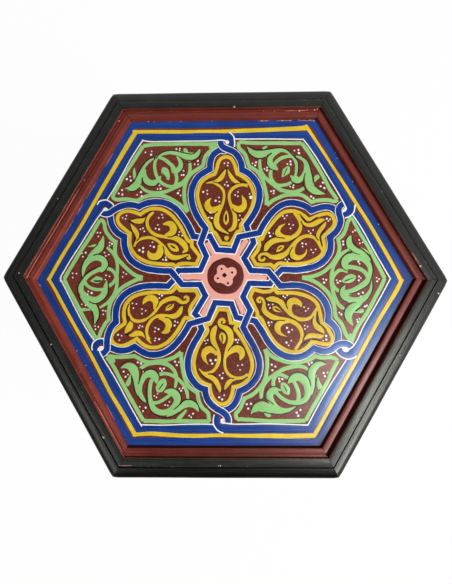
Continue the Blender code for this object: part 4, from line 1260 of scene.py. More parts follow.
medallion(4, band=(
    [(-11.1, 105.2), (-10.1, 109.5), (-8.7, 113.6), (-6.6, 117.1), (-4.2, 120.6), (-1.4, 122.7), (1, 123),
     (3.5, 121.6), (5.5, 118.5), (6.9, 115), (8.3, 110.2), (10.2, 105.8)],
    [(14.6, 105), (18.7, 103.6), (22.9, 101.2), (26.4, 97.7), (28.8, 92.8), (29.8, 87.3), (29.8, 82.4),
     (28.8, 76.2), (26.4, 70), (22.9, 63.7), (19.4, 58.2), (15.6, 52.6), (14.6, 49.6), (15.4, 47.4)],
    [(11.6, 45.4), (7.6, 39.4), (1.9, 31.6), (-6.3, 30.6), (-9, 40.1), (-12.6, 45.6)],
    [(-18.4, 49), (-15.2, 52.2), (-17.3, 56.1), (-20.1, 61.6), (-22.9, 66.5), (-25, 72), (-26.4, 77.6),
     (-27, 83.1), (-26.4, 88.7), (-24.6, 92.8), (-21.5, 96.3), (-17.3, 100.1), (-13.8, 102.9)],
), strokes=[
    [(-2.4, 112.6, 0.4), (-3.8, 110.4, 1.7), (-5, 107, 2.5), (-5.4, 103.4, 2.6), (-7, 100, 2.1),
     (-10.4, 97.3, 1.4), (-14.5, 96, 0.9), (-20, 95, 0.6)],
    [(-21.5, 94.2, 1.2), (-16, 93.9, 1.2), (-11.1, 93.5, 1.4), (-7.6, 91.5, 1.6), (-4.9, 88, 1.8),
     (-3.1, 83.8, 1.8), (-2.6, 79.7, 1.7), (-2.8, 75.5, 1.6), (-3.8, 71.3, 1.6), (-5.5, 67.2, 2),
     (-7.6, 63, 2.6), (-8.8, 58.9, 2.8), (-8.4, 54.7, 2.8), (-6.8, 50.5, 2.6), (-5.1, 47.8, 1.6),
     (-4.4, 46.2, 0.6)],
    [(-14.8, 80.3, 0.5), (-16.2, 78.5, 1.8), (-17.1, 74.4, 2.8), (-15.9, 70.4, 3.2), (-12.4, 68.6, 3.3),
     (-8.4, 70, 2.7), (-5.2, 73.4, 1.6), (-3.6, 77, 0.9)],
    [(-1.2, 113, 0.4), (0.8, 111.4, 1.8), (2.6, 107.6, 2.1), (4.4, 103.6, 2.3), (7.2, 100.2, 2.1),
     (11.5, 98, 1.2)],
    [(25, 95.4, 1.4), (20.1, 95.9, 1.5), (14.6, 96, 1.4), (9.7, 94.6, 1.5), (6.2, 92.1, 1.8),
     (3.5, 88, 2), (2.4, 83.8, 2), (2.4, 79.7, 2.1), (3.1, 75.5, 1.9), (4.5, 70.7, 1.7), (6.2, 66.5, 1.9),
     (7.6, 62.3, 2.3), (8.3, 58.2, 2.6), (7.9, 54, 2.7), (6, 49.9, 2.6), (2.8, 47.8, 1.8),
     (-0.5, 46, 1.3), (-2.2, 43.6, 1.2), (-2.5, 41, 1.2), (-1, 39.3, 1.2), (1.4, 39.7, 1.2),
     (2.1, 41.5, 1), (0.9, 42.9, 0.8), (-0.3, 41.9, 0.4)],
    [(17.6, 82.4, 0.2), (18.3, 79, 0.7), (18.4, 75.4, 1.5), (16.9, 71.8, 2.6), (13.2, 69.3, 3.1),
     (9.2, 70.4, 2.7), (6.2, 73.6, 1.6), (4.6, 77, 0.9)],
    [(-0.8, 65.8, 0.3), (-0.6, 63, 1.7), (-0.6, 59.5, 2.6), (-0.6, 57.2, 2), (-0.7, 55.8, 0.4)],
], lines=[
    [(-2.2, 111.8, 0.4), (-1.8, 108.5, 0.5), (-0.8, 105, 0.3)],
    [(-7.2, 111.8), (-8.5, 107.5), (-8.9, 103.8), (-10.5, 101.2)],
    [(-18.6, 95.8, 0.4), (-14.5, 98.3, 0.8), (-10.5, 101, 0.6)],
    [(5.3, 112), (6.6, 108), (8.2, 104.6)],
    [(9.3, 103.4, 0.4), (14, 100.9, 0.8), (19.6, 98.4, 0.4)],
    [(-13.2, 95.4), (-7.6, 95.8), (-4.6, 97.4)],
    [(4.6, 97.2), (7.6, 97.6), (12.5, 96.9)],
    [(-0.9, 84, 0.3), (-0.8, 79, 0.5), (-0.8, 74, 0.4)],
    [(-18.9, 68.6), (-16.6, 65.6), (-12.4, 65), (-8.8, 66.6), (-6.4, 69.8)],
    [(5, 72.9), (7.6, 67.9), (9.8, 65.4), (13.9, 65.4), (17.3, 67.2)],
    [(-11.6, 59.6), (-11.6, 54.7), (-9.7, 49.2), (-6.2, 45.2)],
    [(-4.7, 62.3), (-5.5, 57), (-3.6, 52), (-0.6, 49.2), (-4, 46.6)],
    [(11.1, 58.2), (10.7, 52.6), (8.3, 47.8)],
    [(-0.8, 65.3, 0.3), (-0.7, 61.5, 0.8), (-0.7, 58, 0.6)],
], dots=[
    (1.1, 117.2, 1), (-1.9, 115.3, 1.1), (3.5, 114.9, 0.6), (-0.8, 95), (2.4, 94), (-0.3, 92.1),
    (-16.6, 86.9), (-13.3, 85.9), (-15.8, 82.7), (19.1, 87.9), (24.5, 88), (23.1, 84.7, 1.1), (9.4, 83.3),
    (13, 81.6, 1.1), (10.3, 78.1, 1.1), (-17.7, 62.5, 0.7), (-14.8, 61.8), (-15.1, 59.7), (12.9, 62.3),
    (16.9, 61.8), (14.8, 59.8, 1.1), (-2.8, 54.5), (1.6, 54), (-0.6, 51.1),
])
medallion(5, band=(
    [(-9.7, 103.2), (-8.5, 106.4), (-8.3, 110.2), (-7.6, 115), (-6.6, 119.2), (-4.9, 123), (-2.4, 125.1),
     (0.7, 125.8), (4.2, 125.4), (7.6, 123.4), (9.7, 119.9), (10.7, 115.7), (11.8, 111.6), (13.2, 106.8)],
    [(17.3, 105.3), (22.2, 103.2), (25.7, 100.1), (27.7, 96.3), (28.6, 91.5), (28.4, 86.6), (27.4, 81.1),
     (25.7, 75.5), (22.9, 70), (19.8, 64.4), (16.6, 60.2), (13.9, 56.1), (14, 52.4), (15.4, 49.6)],
    [(10.7, 48.2), (6.2, 39.8), (2.9, 35.6), (-4.6, 35.8), (-8.3, 44.3), (-11.8, 48.5)],
    [(-18.4, 51), (-15.9, 53.6), (-18, 56.8), (-20.5, 60.9), (-22.5, 65.8), (-24.6, 70.7), (-26.4, 75.5),
     (-27.6, 80.4), (-28.1, 85.2), (-27, 90.1), (-24.3, 94.9), (-20.8, 98.4), (-16.6, 100.8)],
), strokes=[
    [(-0.8, 117.6, 0.3), (-1.9, 115, 1.6), (-2.5, 110.8, 2.4), (-2.7, 106, 2.4), (-3.7, 102, 2),
     (-6, 98.9, 1.5), (-10, 97.5, 1.1), (-18.5, 97.6, 1)],
    [(-22.2, 94.9, 1.6), (-17.3, 95.3, 1.5), (-12.5, 95.3, 1.5), (-7.6, 93.5, 1.6), (-4.2, 90.1, 1.9),
     (-2.4, 85.9, 2.1), (-2.1, 81.7, 2), (-2.2, 77.6, 1.9), (-3.1, 73.4, 1.7), (-4.9, 70, 1.8),
     (-7.1, 66.5, 2.5), (-8.3, 62.3, 2.8), (-8.2, 58.2, 2.9), (-6.7, 54, 2.7), (-4.6, 51, 1.6),
     (-4.2, 49.6, 0.7)],
    [(-17.3, 81.4, 0.3), (-17.3, 77.6, 1), (-16.6, 74.1, 1.8), (-14.4, 70.9, 2.6), (-11.4, 70.3, 3.1),
     (-8.3, 72, 2.4), (-5.5, 75.5, 1.6), (-4.2, 79, 0.8)],
    [(1.5, 117.2, 0.3), (2.9, 115, 1.3), (4.7, 111.2, 1.9), (6.3, 107.2, 2), (8.6, 103.9, 1.8),
     (12, 102, 1.2), (17, 101, 0.9)],
    [(25, 99.3, 1.2), (20.8, 99.8, 1.4), (15.3, 100.1, 1.5), (9.7, 99.1, 1.5), (5.9, 96.3, 1.7),
     (3.5, 92.1, 1.8), (2.8, 88, 1.8), (3.1, 83.8, 1.8), (4.2, 79.7, 1.8), (5.5, 75.5, 1.7),
     (7.3, 71.3, 1.9), (8.6, 67.2, 2.4), (8.8, 63, 2.7), (7.9, 58.9, 2.7), (6.1, 54.9, 2.5),
     (3.5, 51.9, 2), (0, 50.2, 1.7), (-2, 47.6, 1.3), (-2.8, 44.5, 1.2), (-1.6, 42, 1.2), (1, 41.2, 1.3),
     (3.1, 43.4, 1.2), (2.6, 46, 0.9), (1, 46.2, 0.5)],
    [(15.2, 86.8, 0.3), (17.6, 85, 0.8), (19.2, 81.6, 1.3), (19.3, 77.6, 2), (17.6, 73.8, 2.7),
     (13.9, 71.8, 2.8), (10.2, 73.6, 2.4), (7.2, 77, 1.5), (5.4, 80.5, 0.9)],
    [(1.4, 69.2, 0.3), (1.2, 67, 1.8), (1.4, 64, 2.4), (2.2, 61.4, 1.5), (2.4, 59.6, 0.3)],
], lines=[
    [(0.5, 117.4, 0.3), (0.9, 113, 0.6), (1.4, 109, 0.4)],
    [(-7, 113), (-6.6, 107), (-6.5, 103.5)],
    [(-18.4, 98.9, 0.4), (-13, 99.5, 0.7), (-7.6, 100.2, 0.4)],
    [(7.2, 114), (9.4, 108.2), (11.6, 104.8), (16, 103), (20.8, 101.4)],
    [(-12, 96.2), (-8, 95.8), (-4.2, 96.6)],
    [(6.8, 101.4), (9.6, 100.9), (14, 101.3)],
    [(-18.2, 73.6), (-16.6, 69.3), (-13.2, 66.6), (-10.4, 67.2), (-7, 71), (-4.8, 73.6)],
    [(6.6, 75.8), (9.4, 71), (12.5, 68.3), (16.6, 68.4), (20, 71.5)],
    [(0.6, 84), (0.7, 79), (1.6, 75)],
    [(-11.4, 65), (-11.4, 58.2), (-9.7, 52.6), (-6, 48.6)],
    [(-4.8, 60), (-3.6, 55.6), (-1.4, 53), (-3.6, 49.6)],
    [(-0.6, 45.2), (1, 48), (3.4, 49.4)],
    [(1.2, 66.6, 0.3), (1.3, 64.4, 0.7), (1.4, 62.6, 0.3)],
], dots=[
    (1.4, 122.2), (-0.8, 119.7, 1), (1.9, 119.9), (2.1, 102), (1, 97.7), (3.8, 98.2), (-23.6, 87),
    (-25.2, 83.3), (-22.3, 83.5), (-12.3, 87.5), (-15, 84.5), (-10.6, 83.6), (20.1, 94.2), (18.2, 90.3),
    (21.7, 90.6), (10.6, 88.7), (8.3, 86, 1), (11.2, 84.6), (-14.8, 66.3, 0.6), (-17.6, 62.9, 1.1),
    (-14.1, 62.2, 1), (15.1, 66.4), (13.6, 63.2), (16.3, 63.9),
])

# Corner fields
# Between two medallions and the border lies a kite-shaped field, outlined in pale green, with a green
# arabesque: two leaves, two rings tied together, an almond, and stems that cross below it.
OUTLINE_HALF = 1.9


def corner_field(k, crown, left_flank, right_flank, strokes, lines, dots):
    """Paints the field between medallions k + 1 and k + 2, in the frame turned so that it points up.

    crown runs along the border from the left end over the point to the right end. A flank runs from
    its end of the crown to a notch, and from there to the foot.
    """
    turn = 60 * k + 30
    peak = max(range(len(crown)), key=lambda i: crown[i][1])
    outline = [smooth(crown[:peak + 1], 3.0), smooth(crown[peak:], 3.0)]
    for end, (upper, lower) in ((crown[0], left_flank), (crown[-1], right_flank)):
        outline.append(np.vstack([smooth([end] + upper)[:-1], smooth(upper[-1:] + lower)]))
    green = [with_width(line, OUTLINE_HALF) for line in outline] + [smooth(stroke) for stroke in strokes]
    on_panel(f"corner_{k + 1}_green", green, leaf_green, turn=turn)
    black_and_white(f"corner_{k + 1}", lines, dots, turn)


corner_field(0, crown=[
    (-53.4, 130.2), (-50, 132.4), (-46.7, 134.3), (-40, 138.7), (-30, 144.3), (-20, 149.3), (-10, 154.7),
    (-1.7, 158.9), (5.3, 156), (16.7, 150), (26.7, 144.3), (36.7, 138.7), (43.3, 134.4), (50, 130.6),
    (54.6, 127.6), (59.3, 125.3), (64, 123.2),
], left_flank=(
    [(-54.3, 128), (-53.3, 125.5), (-51, 123.6), (-48, 122.2), (-46, 121.3), (-42, 118.7), (-38, 115.3),
     (-34.6, 112.7)],
    [(-28, 112.7), (-23.3, 111.7), (-18.7, 109.7), (-14, 107), (-10, 104), (-6.7, 100), (-4, 96),
     (-1.3, 90.7), (1, 85.3), (2.5, 80.7), (3, 77)],
), right_flank=(
    [(62, 121.6), (57.5, 120.2), (52, 119.2), (48, 117.8), (45.2, 115.8), (42.7, 113.2), (40, 110.3)],
    [(34, 110), (28.7, 109.7), (23.3, 108.3), (19.3, 106.3), (16, 103.7), (12.7, 100), (9.3, 94.7),
     (6.7, 89.3), (4.8, 83), (3.4, 77.5)],
), strokes=[
    [(54.6, 123.6, 0.8), (58, 122.9, 2.4), (61, 122.7, 2.4), (63.6, 123, 1)],
    [(-39.2, 130.4, 0.4), (-36.5, 127.6, 2.6), (-32.5, 126.6, 3.5), (-28, 127.4, 3.7),
     (-23.5, 130.4, 3.3), (-19.5, 133.8, 2.8), (-15.5, 137.2, 2.2), (-11.5, 140, 1.8), (-7, 141.6, 1.6),
     (-2, 142.3, 1.3), (1.6, 141.9, 0.5)],
    [(-12.6, 137.2, 1.4), (-15, 133.4, 1.9), (-16.5, 129, 2.7), (-16.4, 125, 3.3), (-14.4, 121.6, 3.3),
     (-11, 120, 3), (-7.4, 120.3, 2.3), (-4.4, 121.6, 1.7), (-1.8, 122.6, 0.5)],
    [(1.2, 139.4, 0.8), (4.5, 141.4, 1.3), (9, 141.9, 1.5), (14, 140.9, 1.7), (19, 138.6, 1.9),
     (23.4, 135.3, 2.2), (27.2, 131.6, 3), (31, 127.6, 3.8), (35.5, 124.6, 3.6), (40, 123.7, 2.8),
     (43.8, 125, 1.5), (46, 126.8, 0.4)],
    [(4.5, 141.2, 1.2), (0.8, 138.8, 1.5), (-2, 135.4, 1.6), (-4, 131, 1.6), (-5.3, 126, 1.6),
     (-5.6, 121, 1.6), (-4.9, 117, 1.6), (-2.6, 112.6, 1.6), (0.6, 109, 1.6), (4, 106.8, 1.6)],
    [(5.5, 140.3, 1.3), (8.2, 138, 1.6), (10.6, 134, 1.7), (12.2, 129.6, 1.8), (13.2, 125.5, 2),
     (12.6, 122, 2.4), (11, 119.5, 1.8)],
    [(22.7, 132, 1.4), (22.8, 127.3, 1.8), (22, 123.3, 2.5), (19.3, 120.2, 3), (16, 119.2, 3),
     (12.7, 119.4, 2.4), (10, 119.9, 0.8)],
    [(12.2, 117, 1.7), (11.2, 113.4, 1.7), (9, 110, 1.7), (5.8, 107.4, 1.6), (2, 105.8, 1.4)],
    [(4, 129.4, 0.8), (4.2, 127.2, 3), (4, 123.5, 3.7), (3.6, 119.5, 2.8), (3.2, 116.4, 1.4),
     (3.2, 115.2, 0.3)],
    [(-24.8, 125, 1), (-23.9, 121, 1.4), (-21.6, 116.4, 1.6), (-18, 112.6, 1.7), (-12.7, 109.3, 1.7),
     (-7, 106.8, 1.7), (-1, 105.6, 1.6), (5, 104.9, 1.5), (11, 104, 1.3), (14, 103.4, 0.8)],
    [(30.8, 121, 1.2), (29.4, 118, 1.5), (27.2, 114, 1.6), (24, 110.3, 1.7), (19.5, 107.6, 1.7),
     (14, 106.2, 1.7), (8, 106.4, 1.6), (3, 106.6, 1.5)],
    [(-20.6, 143.8, 0.3), (-22.4, 141.2, 1.2), (-24, 138, 1.5), (-25.6, 134.8, 1.4), (-26, 132.5, 1)],
    [(32, 135.4, 0.8), (32.8, 133.2, 1.9), (33.4, 130.6, 1), (33.8, 128.8, 0.5)],
], lines=[
    [(-39.4, 131.2), (-34, 130.6), (-28.6, 131.5), (-23, 135), (-18, 138.2), (-12.6, 141.2), (-7, 143.4),
     (-2, 143.9), (1.9, 142.4), (0.9, 140.2)],
    [(-39, 129), (-36, 124.4), (-31, 122.7), (-26, 123.2)],
    [(-18.4, 131, 0.5), (-20.4, 128.6, 0.6), (-20, 124.6), (-17.8, 120.6), (-14, 117.4), (-10.6, 116.6),
     (-7.4, 118)],
    [(2.7, 140.7), (7.4, 142.9), (13.4, 142.8), (20, 140.4), (25, 136.6), (29, 132.8), (32.7, 129.4),
     (36.6, 126.4), (42, 126.4)],
    [(23.6, 131.4, 0.5), (25, 126.6, 0.5), (24.8, 123.4), (23, 119.6), (19, 117), (15, 116.2)],
    [(26.6, 122.6), (30, 120.2), (35.4, 119.4), (40.6, 119.8), (45.4, 122.2)],
    [(1, 124.2, 0.35), (1.3, 121, 0.5), (2, 117.6, 0.35)],
], dots=[
    (-3.3, 152), (2.8, 149.6), (0.5, 146.8, 1.1), (-33.1, 137.6, 1.1), (-29, 138), (-30.3, 134.2, 1.1),
    (-47.5, 128.8, 1), (-42.7, 130.2, 1), (-44.9, 126, 1), (-31.9, 118.1, 0.7), (-27.3, 118.6, 1.1),
    (-28.7, 114.6, 1), (-11.3, 112.9), (-7.7, 115.1), (-8.5, 111.5, 1.1), (25.6, 138.9, 1), (28.9, 137.7),
    (27.7, 136.1, 0.8), (33.7, 115.9), (38.2, 117.2, 1), (36.5, 113.9), (16.7, 113), (20.7, 115.8),
    (18.5, 112, 1), (4.3, 98.7, 1.2), (7, 100.3, 0.7), (5.5, 95.3),
])
corner_field(1, crown=[
    (-58.2, 127.4), (-54.6, 128.5), (-50, 131.4), (-44.6, 134.6), (-40, 137.4), (-30, 143), (-20, 148.3),
    (-10, 154), (1.3, 159.3), (10, 154.7), (20, 148.7), (30, 143), (40, 136.4), (45, 133.2), (50, 130.4),
    (54.4, 127.9), (61, 124.2),
], left_flank=(
    [(-57.2, 125.4), (-56.4, 123.6), (-54, 122.6), (-51.4, 121.8), (-48.6, 120.4), (-45.2, 118.4),
     (-42.7, 117), (-39.3, 113.8)],
    [(-35.3, 114.3), (-30, 114), (-24.7, 113), (-20, 111), (-15.3, 108), (-11.3, 104.7), (-7.3, 100.7),
     (-4, 95.3), (-1.3, 90), (0.7, 85.3), (1.7, 80.6)],
), right_flank=(
    [(60.2, 121.6), (57.4, 119.8), (54, 119.3), (50.6, 118.4), (47.3, 116.8), (45, 114.9), (42.4, 113),
     (39.7, 109.8), (38.7, 107.9)],
    [(36, 108.3), (30.7, 108.7), (25.3, 108), (20.7, 105.3), (16.7, 101.7), (12.7, 97.7), (8.7, 93.3),
     (5.3, 88.7), (3.3, 84), (2.4, 80.4)],
), strokes=[
    [(-57.4, 126, 1.6), (-56.2, 124.8, 1.6), (-55, 124.4, 0.6)],
    [(-0.2, 116.2, 0.4), (-4.5, 117.2, 1.7), (-9.5, 118, 2.6), (-14.5, 119.5, 3.1), (-18.3, 123, 3.3),
     (-19.8, 128, 3.1), (-18.6, 133.4, 2.9), (-15.4, 138.4, 2.9), (-11, 141.8, 2.8), (-6, 142.3, 2.6),
     (-1.5, 140.4, 2.3), (3, 136.8, 2), (6.6, 132.4, 1.9), (9.3, 127.4, 1.9), (11, 123, 2.2),
     (10.4, 119.8, 2.4)],
    [(-43.3, 128.2, 0.4), (-39, 127, 1.5), (-34.5, 126.4, 2.6), (-30, 127.3, 3.2), (-26, 130.4, 3.3),
     (-22.8, 134.6, 3), (-19, 138.6, 2.6), (-14.5, 141.6, 2)],
    [(3.4, 141.2, 0.4), (8, 140.4, 1.4), (13, 139.4, 2), (17.4, 137, 2.5), (20.8, 133.4, 2.7),
     (22.6, 128.6, 2.8), (22.4, 124, 3), (20, 120, 3.1), (16.2, 118.6, 3.1), (12.4, 119.6, 2.9),
     (9.4, 121.6, 1.6), (8, 122.6, 0.5)],
    [(17, 138.4, 1.6), (21.5, 135.9, 2), (25.6, 132.2, 2.4), (29.2, 127.6, 3.2), (33, 123.9, 3.7),
     (37, 122.2, 2.9), (41, 121.2, 1.6), (44.6, 120.6, 0.4)],
    [(-0.5, 138.8, 1.6), (-4.4, 136.8, 1.6), (-7.4, 133, 1.6), (-9, 128.4, 1.6), (-9.4, 123.6, 1.6),
     (-9, 120, 1.4)],
    [(-5.8, 114.4, 1.8), (-3.8, 111.2, 1.7), (-0.4, 108.4, 1.7), (4, 106.6, 1.5)],
    [(11.8, 116.4, 1.7), (10.6, 112.4, 1.7), (7.6, 109, 1.7), (3.4, 107.2, 1.6)],
    [(-0.8, 132.8, 0.3), (-0.2, 130, 2), (0.4, 126.6, 3.4), (0.9, 123.4, 2.6), (1.4, 120.8, 0.8)],
    [(-29.4, 141.5, 1.6), (-29.2, 138.5, 1.5), (-29.4, 135.4, 0.9), (-29, 132.6, 1.2)],
    [(34, 136, 0.3), (34.4, 132.6, 0.8), (35, 129, 1.2), (34.6, 126, 1.6)],
    [(-27.4, 123.4, 1), (-25, 119, 1.4), (-22.2, 115, 1.6), (-18, 111.4, 1.7), (-12.7, 108.4, 1.7),
     (-7, 106.7, 1.6), (0, 106, 1.5), (6, 106.2, 1.4)],
    [(33, 117, 1.1), (30.2, 113.4, 1.5), (26, 109.8, 1.6), (20.7, 107.2, 1.6), (14, 106, 1.6),
     (7, 106.1, 1.6), (1, 107, 1.4)],
], lines=[
    [(-20.7, 141.3), (-15.3, 144.5), (-10, 145.5), (-4.7, 144.7), (0, 142), (4.5, 138.6, 0.5),
     (7.6, 136, 0.5), (10.6, 132), (13, 127), (14.2, 123.4)],
    [(-43.4, 128.9), (-37, 129.6), (-31, 130.6)],
    [(-42.7, 126.4), (-37, 123.6), (-31, 123.6), (-25.6, 125.2)],
    [(-21, 134, 0.5), (-23.2, 129.4, 0.6), (-23, 125.6), (-21.4, 122), (-17.3, 117.4), (-12, 114.8, 0.5),
     (-4.8, 114.7, 0.5), (-0.4, 115.4)],
    [(2, 141.4), (7.4, 142.2), (14, 142), (20, 139.4), (24, 136)],
    [(24.8, 130.4), (26.2, 125.6, 0.5), (25.6, 122.4), (24, 119.4), (20, 116), (15.4, 114.9),
     (11.4, 116.8, 0.5), (8, 120, 0.5), (7, 122.4)],
    [(30, 120), (34.7, 118.4), (39.6, 118.8)],
    [(33.4, 128.8), (36.6, 125.6)],
    [(-0.3, 129.6, 0.4), (-1, 126, 0.9), (-0.5, 122, 0.5)],
], dots=[
    (2.8, 150.7), (7, 151), (6.7, 147), (-24.1, 141.1), (-25, 137.3, 0.7), (-14, 135.5), (-11.2, 134.9),
    (-12.8, 131.5, 1.1), (-48.8, 127.1), (-45.6, 127.5), (-46.5, 124.3), (-34.1, 119.6), (-30.2, 120),
    (-30.7, 117.3), (0.5, 117.8, 0.7), (4.8, 117.3), (3.8, 113.8), (23.7, 140.9), (27.2, 141.7, 0.7),
    (27.8, 138.1, 1), (44.2, 125.5), (48, 126.5), (47.9, 123.5), (24.3, 117.9), (27.8, 119.1),
    (25.7, 114.9), (34.7, 114.1), (37.9, 113.9), (36.6, 111.7, 1), (3.4, 100.6), (7.7, 99.7), (6.1, 97),
])
corner_field(2, crown=[
    (-57.6, 127.6), (-53.1, 129.6), (-48.9, 132.2), (-44.8, 134.6), (-40, 137), (-30, 142.7), (-20, 149),
    (-10, 154.3), (-1.3, 159.1), (6.7, 154.7), (16.7, 149), (26.7, 143.3), (36.7, 137.3), (43.3, 133.3),
    (49.4, 129.4), (54.1, 127.1), (58.2, 125.3), (61.6, 123.8),
], left_flank=(
    [(-56, 125.8), (-54.2, 123.4), (-52.6, 121.2), (-50, 120.2), (-45.3, 119.4), (-41.3, 117.3),
     (-37.3, 114), (-33.4, 109.2)],
    [(-28.7, 109), (-24, 108.3), (-19.3, 106), (-14.7, 102.3), (-10.7, 98), (-7.3, 94), (-4, 89.7),
     (-1.3, 86), (0.2, 82.8)],
), right_flank=(
    [(59.6, 121.4), (55.4, 119.8), (51.8, 117.9), (48.2, 115.8), (45.3, 113.8), (41.3, 111.1),
     (38.7, 109.2)],
    [(33.3, 109), (27.3, 108.7), (22, 106.7), (17.3, 103.3), (13.3, 100), (9.3, 97), (6, 93.3),
     (3.3, 89.7), (1.7, 85.8), (0.6, 82.8)],
), strokes=[
    [(52.4, 124.1, 0.8), (55.6, 123.3, 2.4), (59, 122.8, 2.2), (61.4, 123, 1)],
    [(-4.8, 124.8, 0.5), (-7.2, 122.6, 2.3), (-11, 121.2, 3.4), (-15.4, 121.4, 3.7), (-19, 124, 3.3),
     (-20.4, 128.4, 2.9), (-20, 133.4, 2.8), (-17.8, 138.8, 2.8), (-13.6, 142.8, 2.8), (-8.6, 144.3, 2.8),
     (-4, 143.9, 2.7), (0, 141.4, 2.4), (4, 137.2, 2), (7.3, 132.6, 1.9), (10, 127.2, 1.8),
     (11.6, 122.8, 1.9), (11.4, 119.4, 1.8)],
    [(0.5, 139.6, 1.6), (-3.6, 137.4, 1.6), (-6.6, 133.6, 1.6), (-9, 129.2, 1.6), (-10.8, 125, 1.5),
     (-11.4, 121.6, 1.3)],
    [(5.4, 142.8, 0.4), (9, 141.4, 1.5), (13.4, 139.2, 2.1), (17.2, 135.8, 2.6), (19.4, 131.4, 2.7),
     (20.2, 126.6, 2.7), (20, 122, 2.9), (18.2, 117.9, 3.4), (14.6, 115.6, 3.9), (10.6, 116.2, 3.2),
     (8, 118.8, 2.2), (6, 121.6, 0.5)],
    [(-43.2, 124.4, 0.4), (-40, 122.2, 1.9), (-36, 121.2, 2.9), (-32, 122, 3.4), (-28.4, 125, 3.4),
     (-26, 129.4, 2.9), (-24, 134.2, 2.6), (-21.4, 139, 2.4), (-17.6, 142.6, 2)],
    [(15.5, 139.6, 1.6), (20, 136.4, 2), (23.6, 132.4, 2.5), (26.6, 127.6, 3.3), (30, 123.2, 4),
     (34.6, 120.3, 4.1), (39, 120.7, 3.2), (42, 123, 1.8), (44.2, 126, 0.4)],
    [(1, 128.4, 0.8), (1, 126.4, 3), (0.9, 121, 4.4), (1.2, 116, 3.4), (1.4, 113.4, 0.8)],
    [(-29.8, 142, 1.7), (-30.4, 138.6, 1.9), (-31.2, 134.8, 1.7), (-32, 131, 1.1), (-32.2, 128.6, 0.7)],
    [(30.4, 138.2, 1.2), (30.5, 135.8, 2.2), (31, 132.4, 1.8), (31.9, 129.2, 1.1), (32.4, 127, 0.7)],
    [(-28.6, 119.6, 1.2), (-25.2, 115, 1.6), (-20.8, 111.2, 1.7), (-16, 108.7, 1.7), (-10.6, 107.3, 1.7),
     (-5.6, 106.8, 1.7), (-0.6, 107.4, 1.7), (4.4, 109.4, 1.6), (8, 112.4, 1.8)],
    [(-12, 117, 1), (-11.2, 114, 1.3), (-9.6, 109.6, 1.5), (-6.8, 105.3, 1.7), (-2.8, 102, 1.8),
     (2.4, 100.3, 1.8), (8, 99.6, 1.6)],
    [(27.4, 117.2, 1.4), (26, 113.8, 1.8), (23.4, 110, 1.8), (19.6, 106.4, 1.8), (15, 103.2, 1.9),
     (9.6, 101, 1.9), (4, 100.4, 1.7)],
], lines=[
    [(-28, 133.3), (-25.4, 138), (-22, 142.7), (-16.7, 146.3), (-10, 147.9), (-3.3, 147.3), (0.7, 144.7),
     (4.7, 141.3, 0.5), (8, 137.3, 0.5), (10.7, 133.3), (12.7, 128.7), (13.6, 123.4)],
    [(-21.5, 134.5, 0.4), (-22.8, 131.6, 0.5), (-24.2, 127), (-25.2, 123.2), (-27.6, 119.8), (-31, 118.2),
     (-36.6, 117.9), (-41.4, 120.2), (-43.4, 122.8)],
    [(-23.2, 122.4), (-20.6, 119.2), (-16, 116.8), (-11.4, 116.8), (-7.4, 118.8), (-5.4, 121)],
    [(4.2, 142.8), (8.7, 143.5), (14, 142.4), (19.4, 139.4), (24, 134.8), (28.2, 130), (31.6, 127.2)],
    [(21.4, 130.8, 0.5), (22.6, 124.8, 0.5), (24, 119.4, 0.5), (27.2, 116.2, 0.4)],
    [(22.4, 119.2), (20.8, 114.6), (16, 111.2), (11.4, 111.4), (8, 113.4)],
    [(30.6, 115.6, 0.3), (36, 115, 0.3), (41.4, 116.2, 0.3), (44.4, 120.6, 0.3), (45, 125.4, 0.3)],
    [(1.1, 125.2, 0.4), (0.6, 121.5, 0.5), (0.3, 118, 0.4)],
], dots=[
    (3.9, 151.3), (9, 149.1), (3.4, 147, 1), (-39.9, 132.7), (-37.5, 132.3), (-39.7, 128.7, 1),
    (-14.3, 134.3), (-11.8, 135.3), (-14, 130.5), (-0.8, 133.1), (1.7, 132.9), (0.1, 129.6, 0.6),
    (-18.4, 115.5, 1), (-16, 114.4), (-18.5, 112.5), (7.7, 108.1), (10.2, 107.1, 1), (7.1, 105.3, 1),
    (35.9, 131.1, 1), (34.9, 128, 0.7), (40, 127.7, 1), (29.2, 112.3, 1.1), (32.5, 113, 1),
    (23, 118.3, 0.7), (-2.2, 96, 1), (1, 94, 1), (-2.5, 92.5),
])
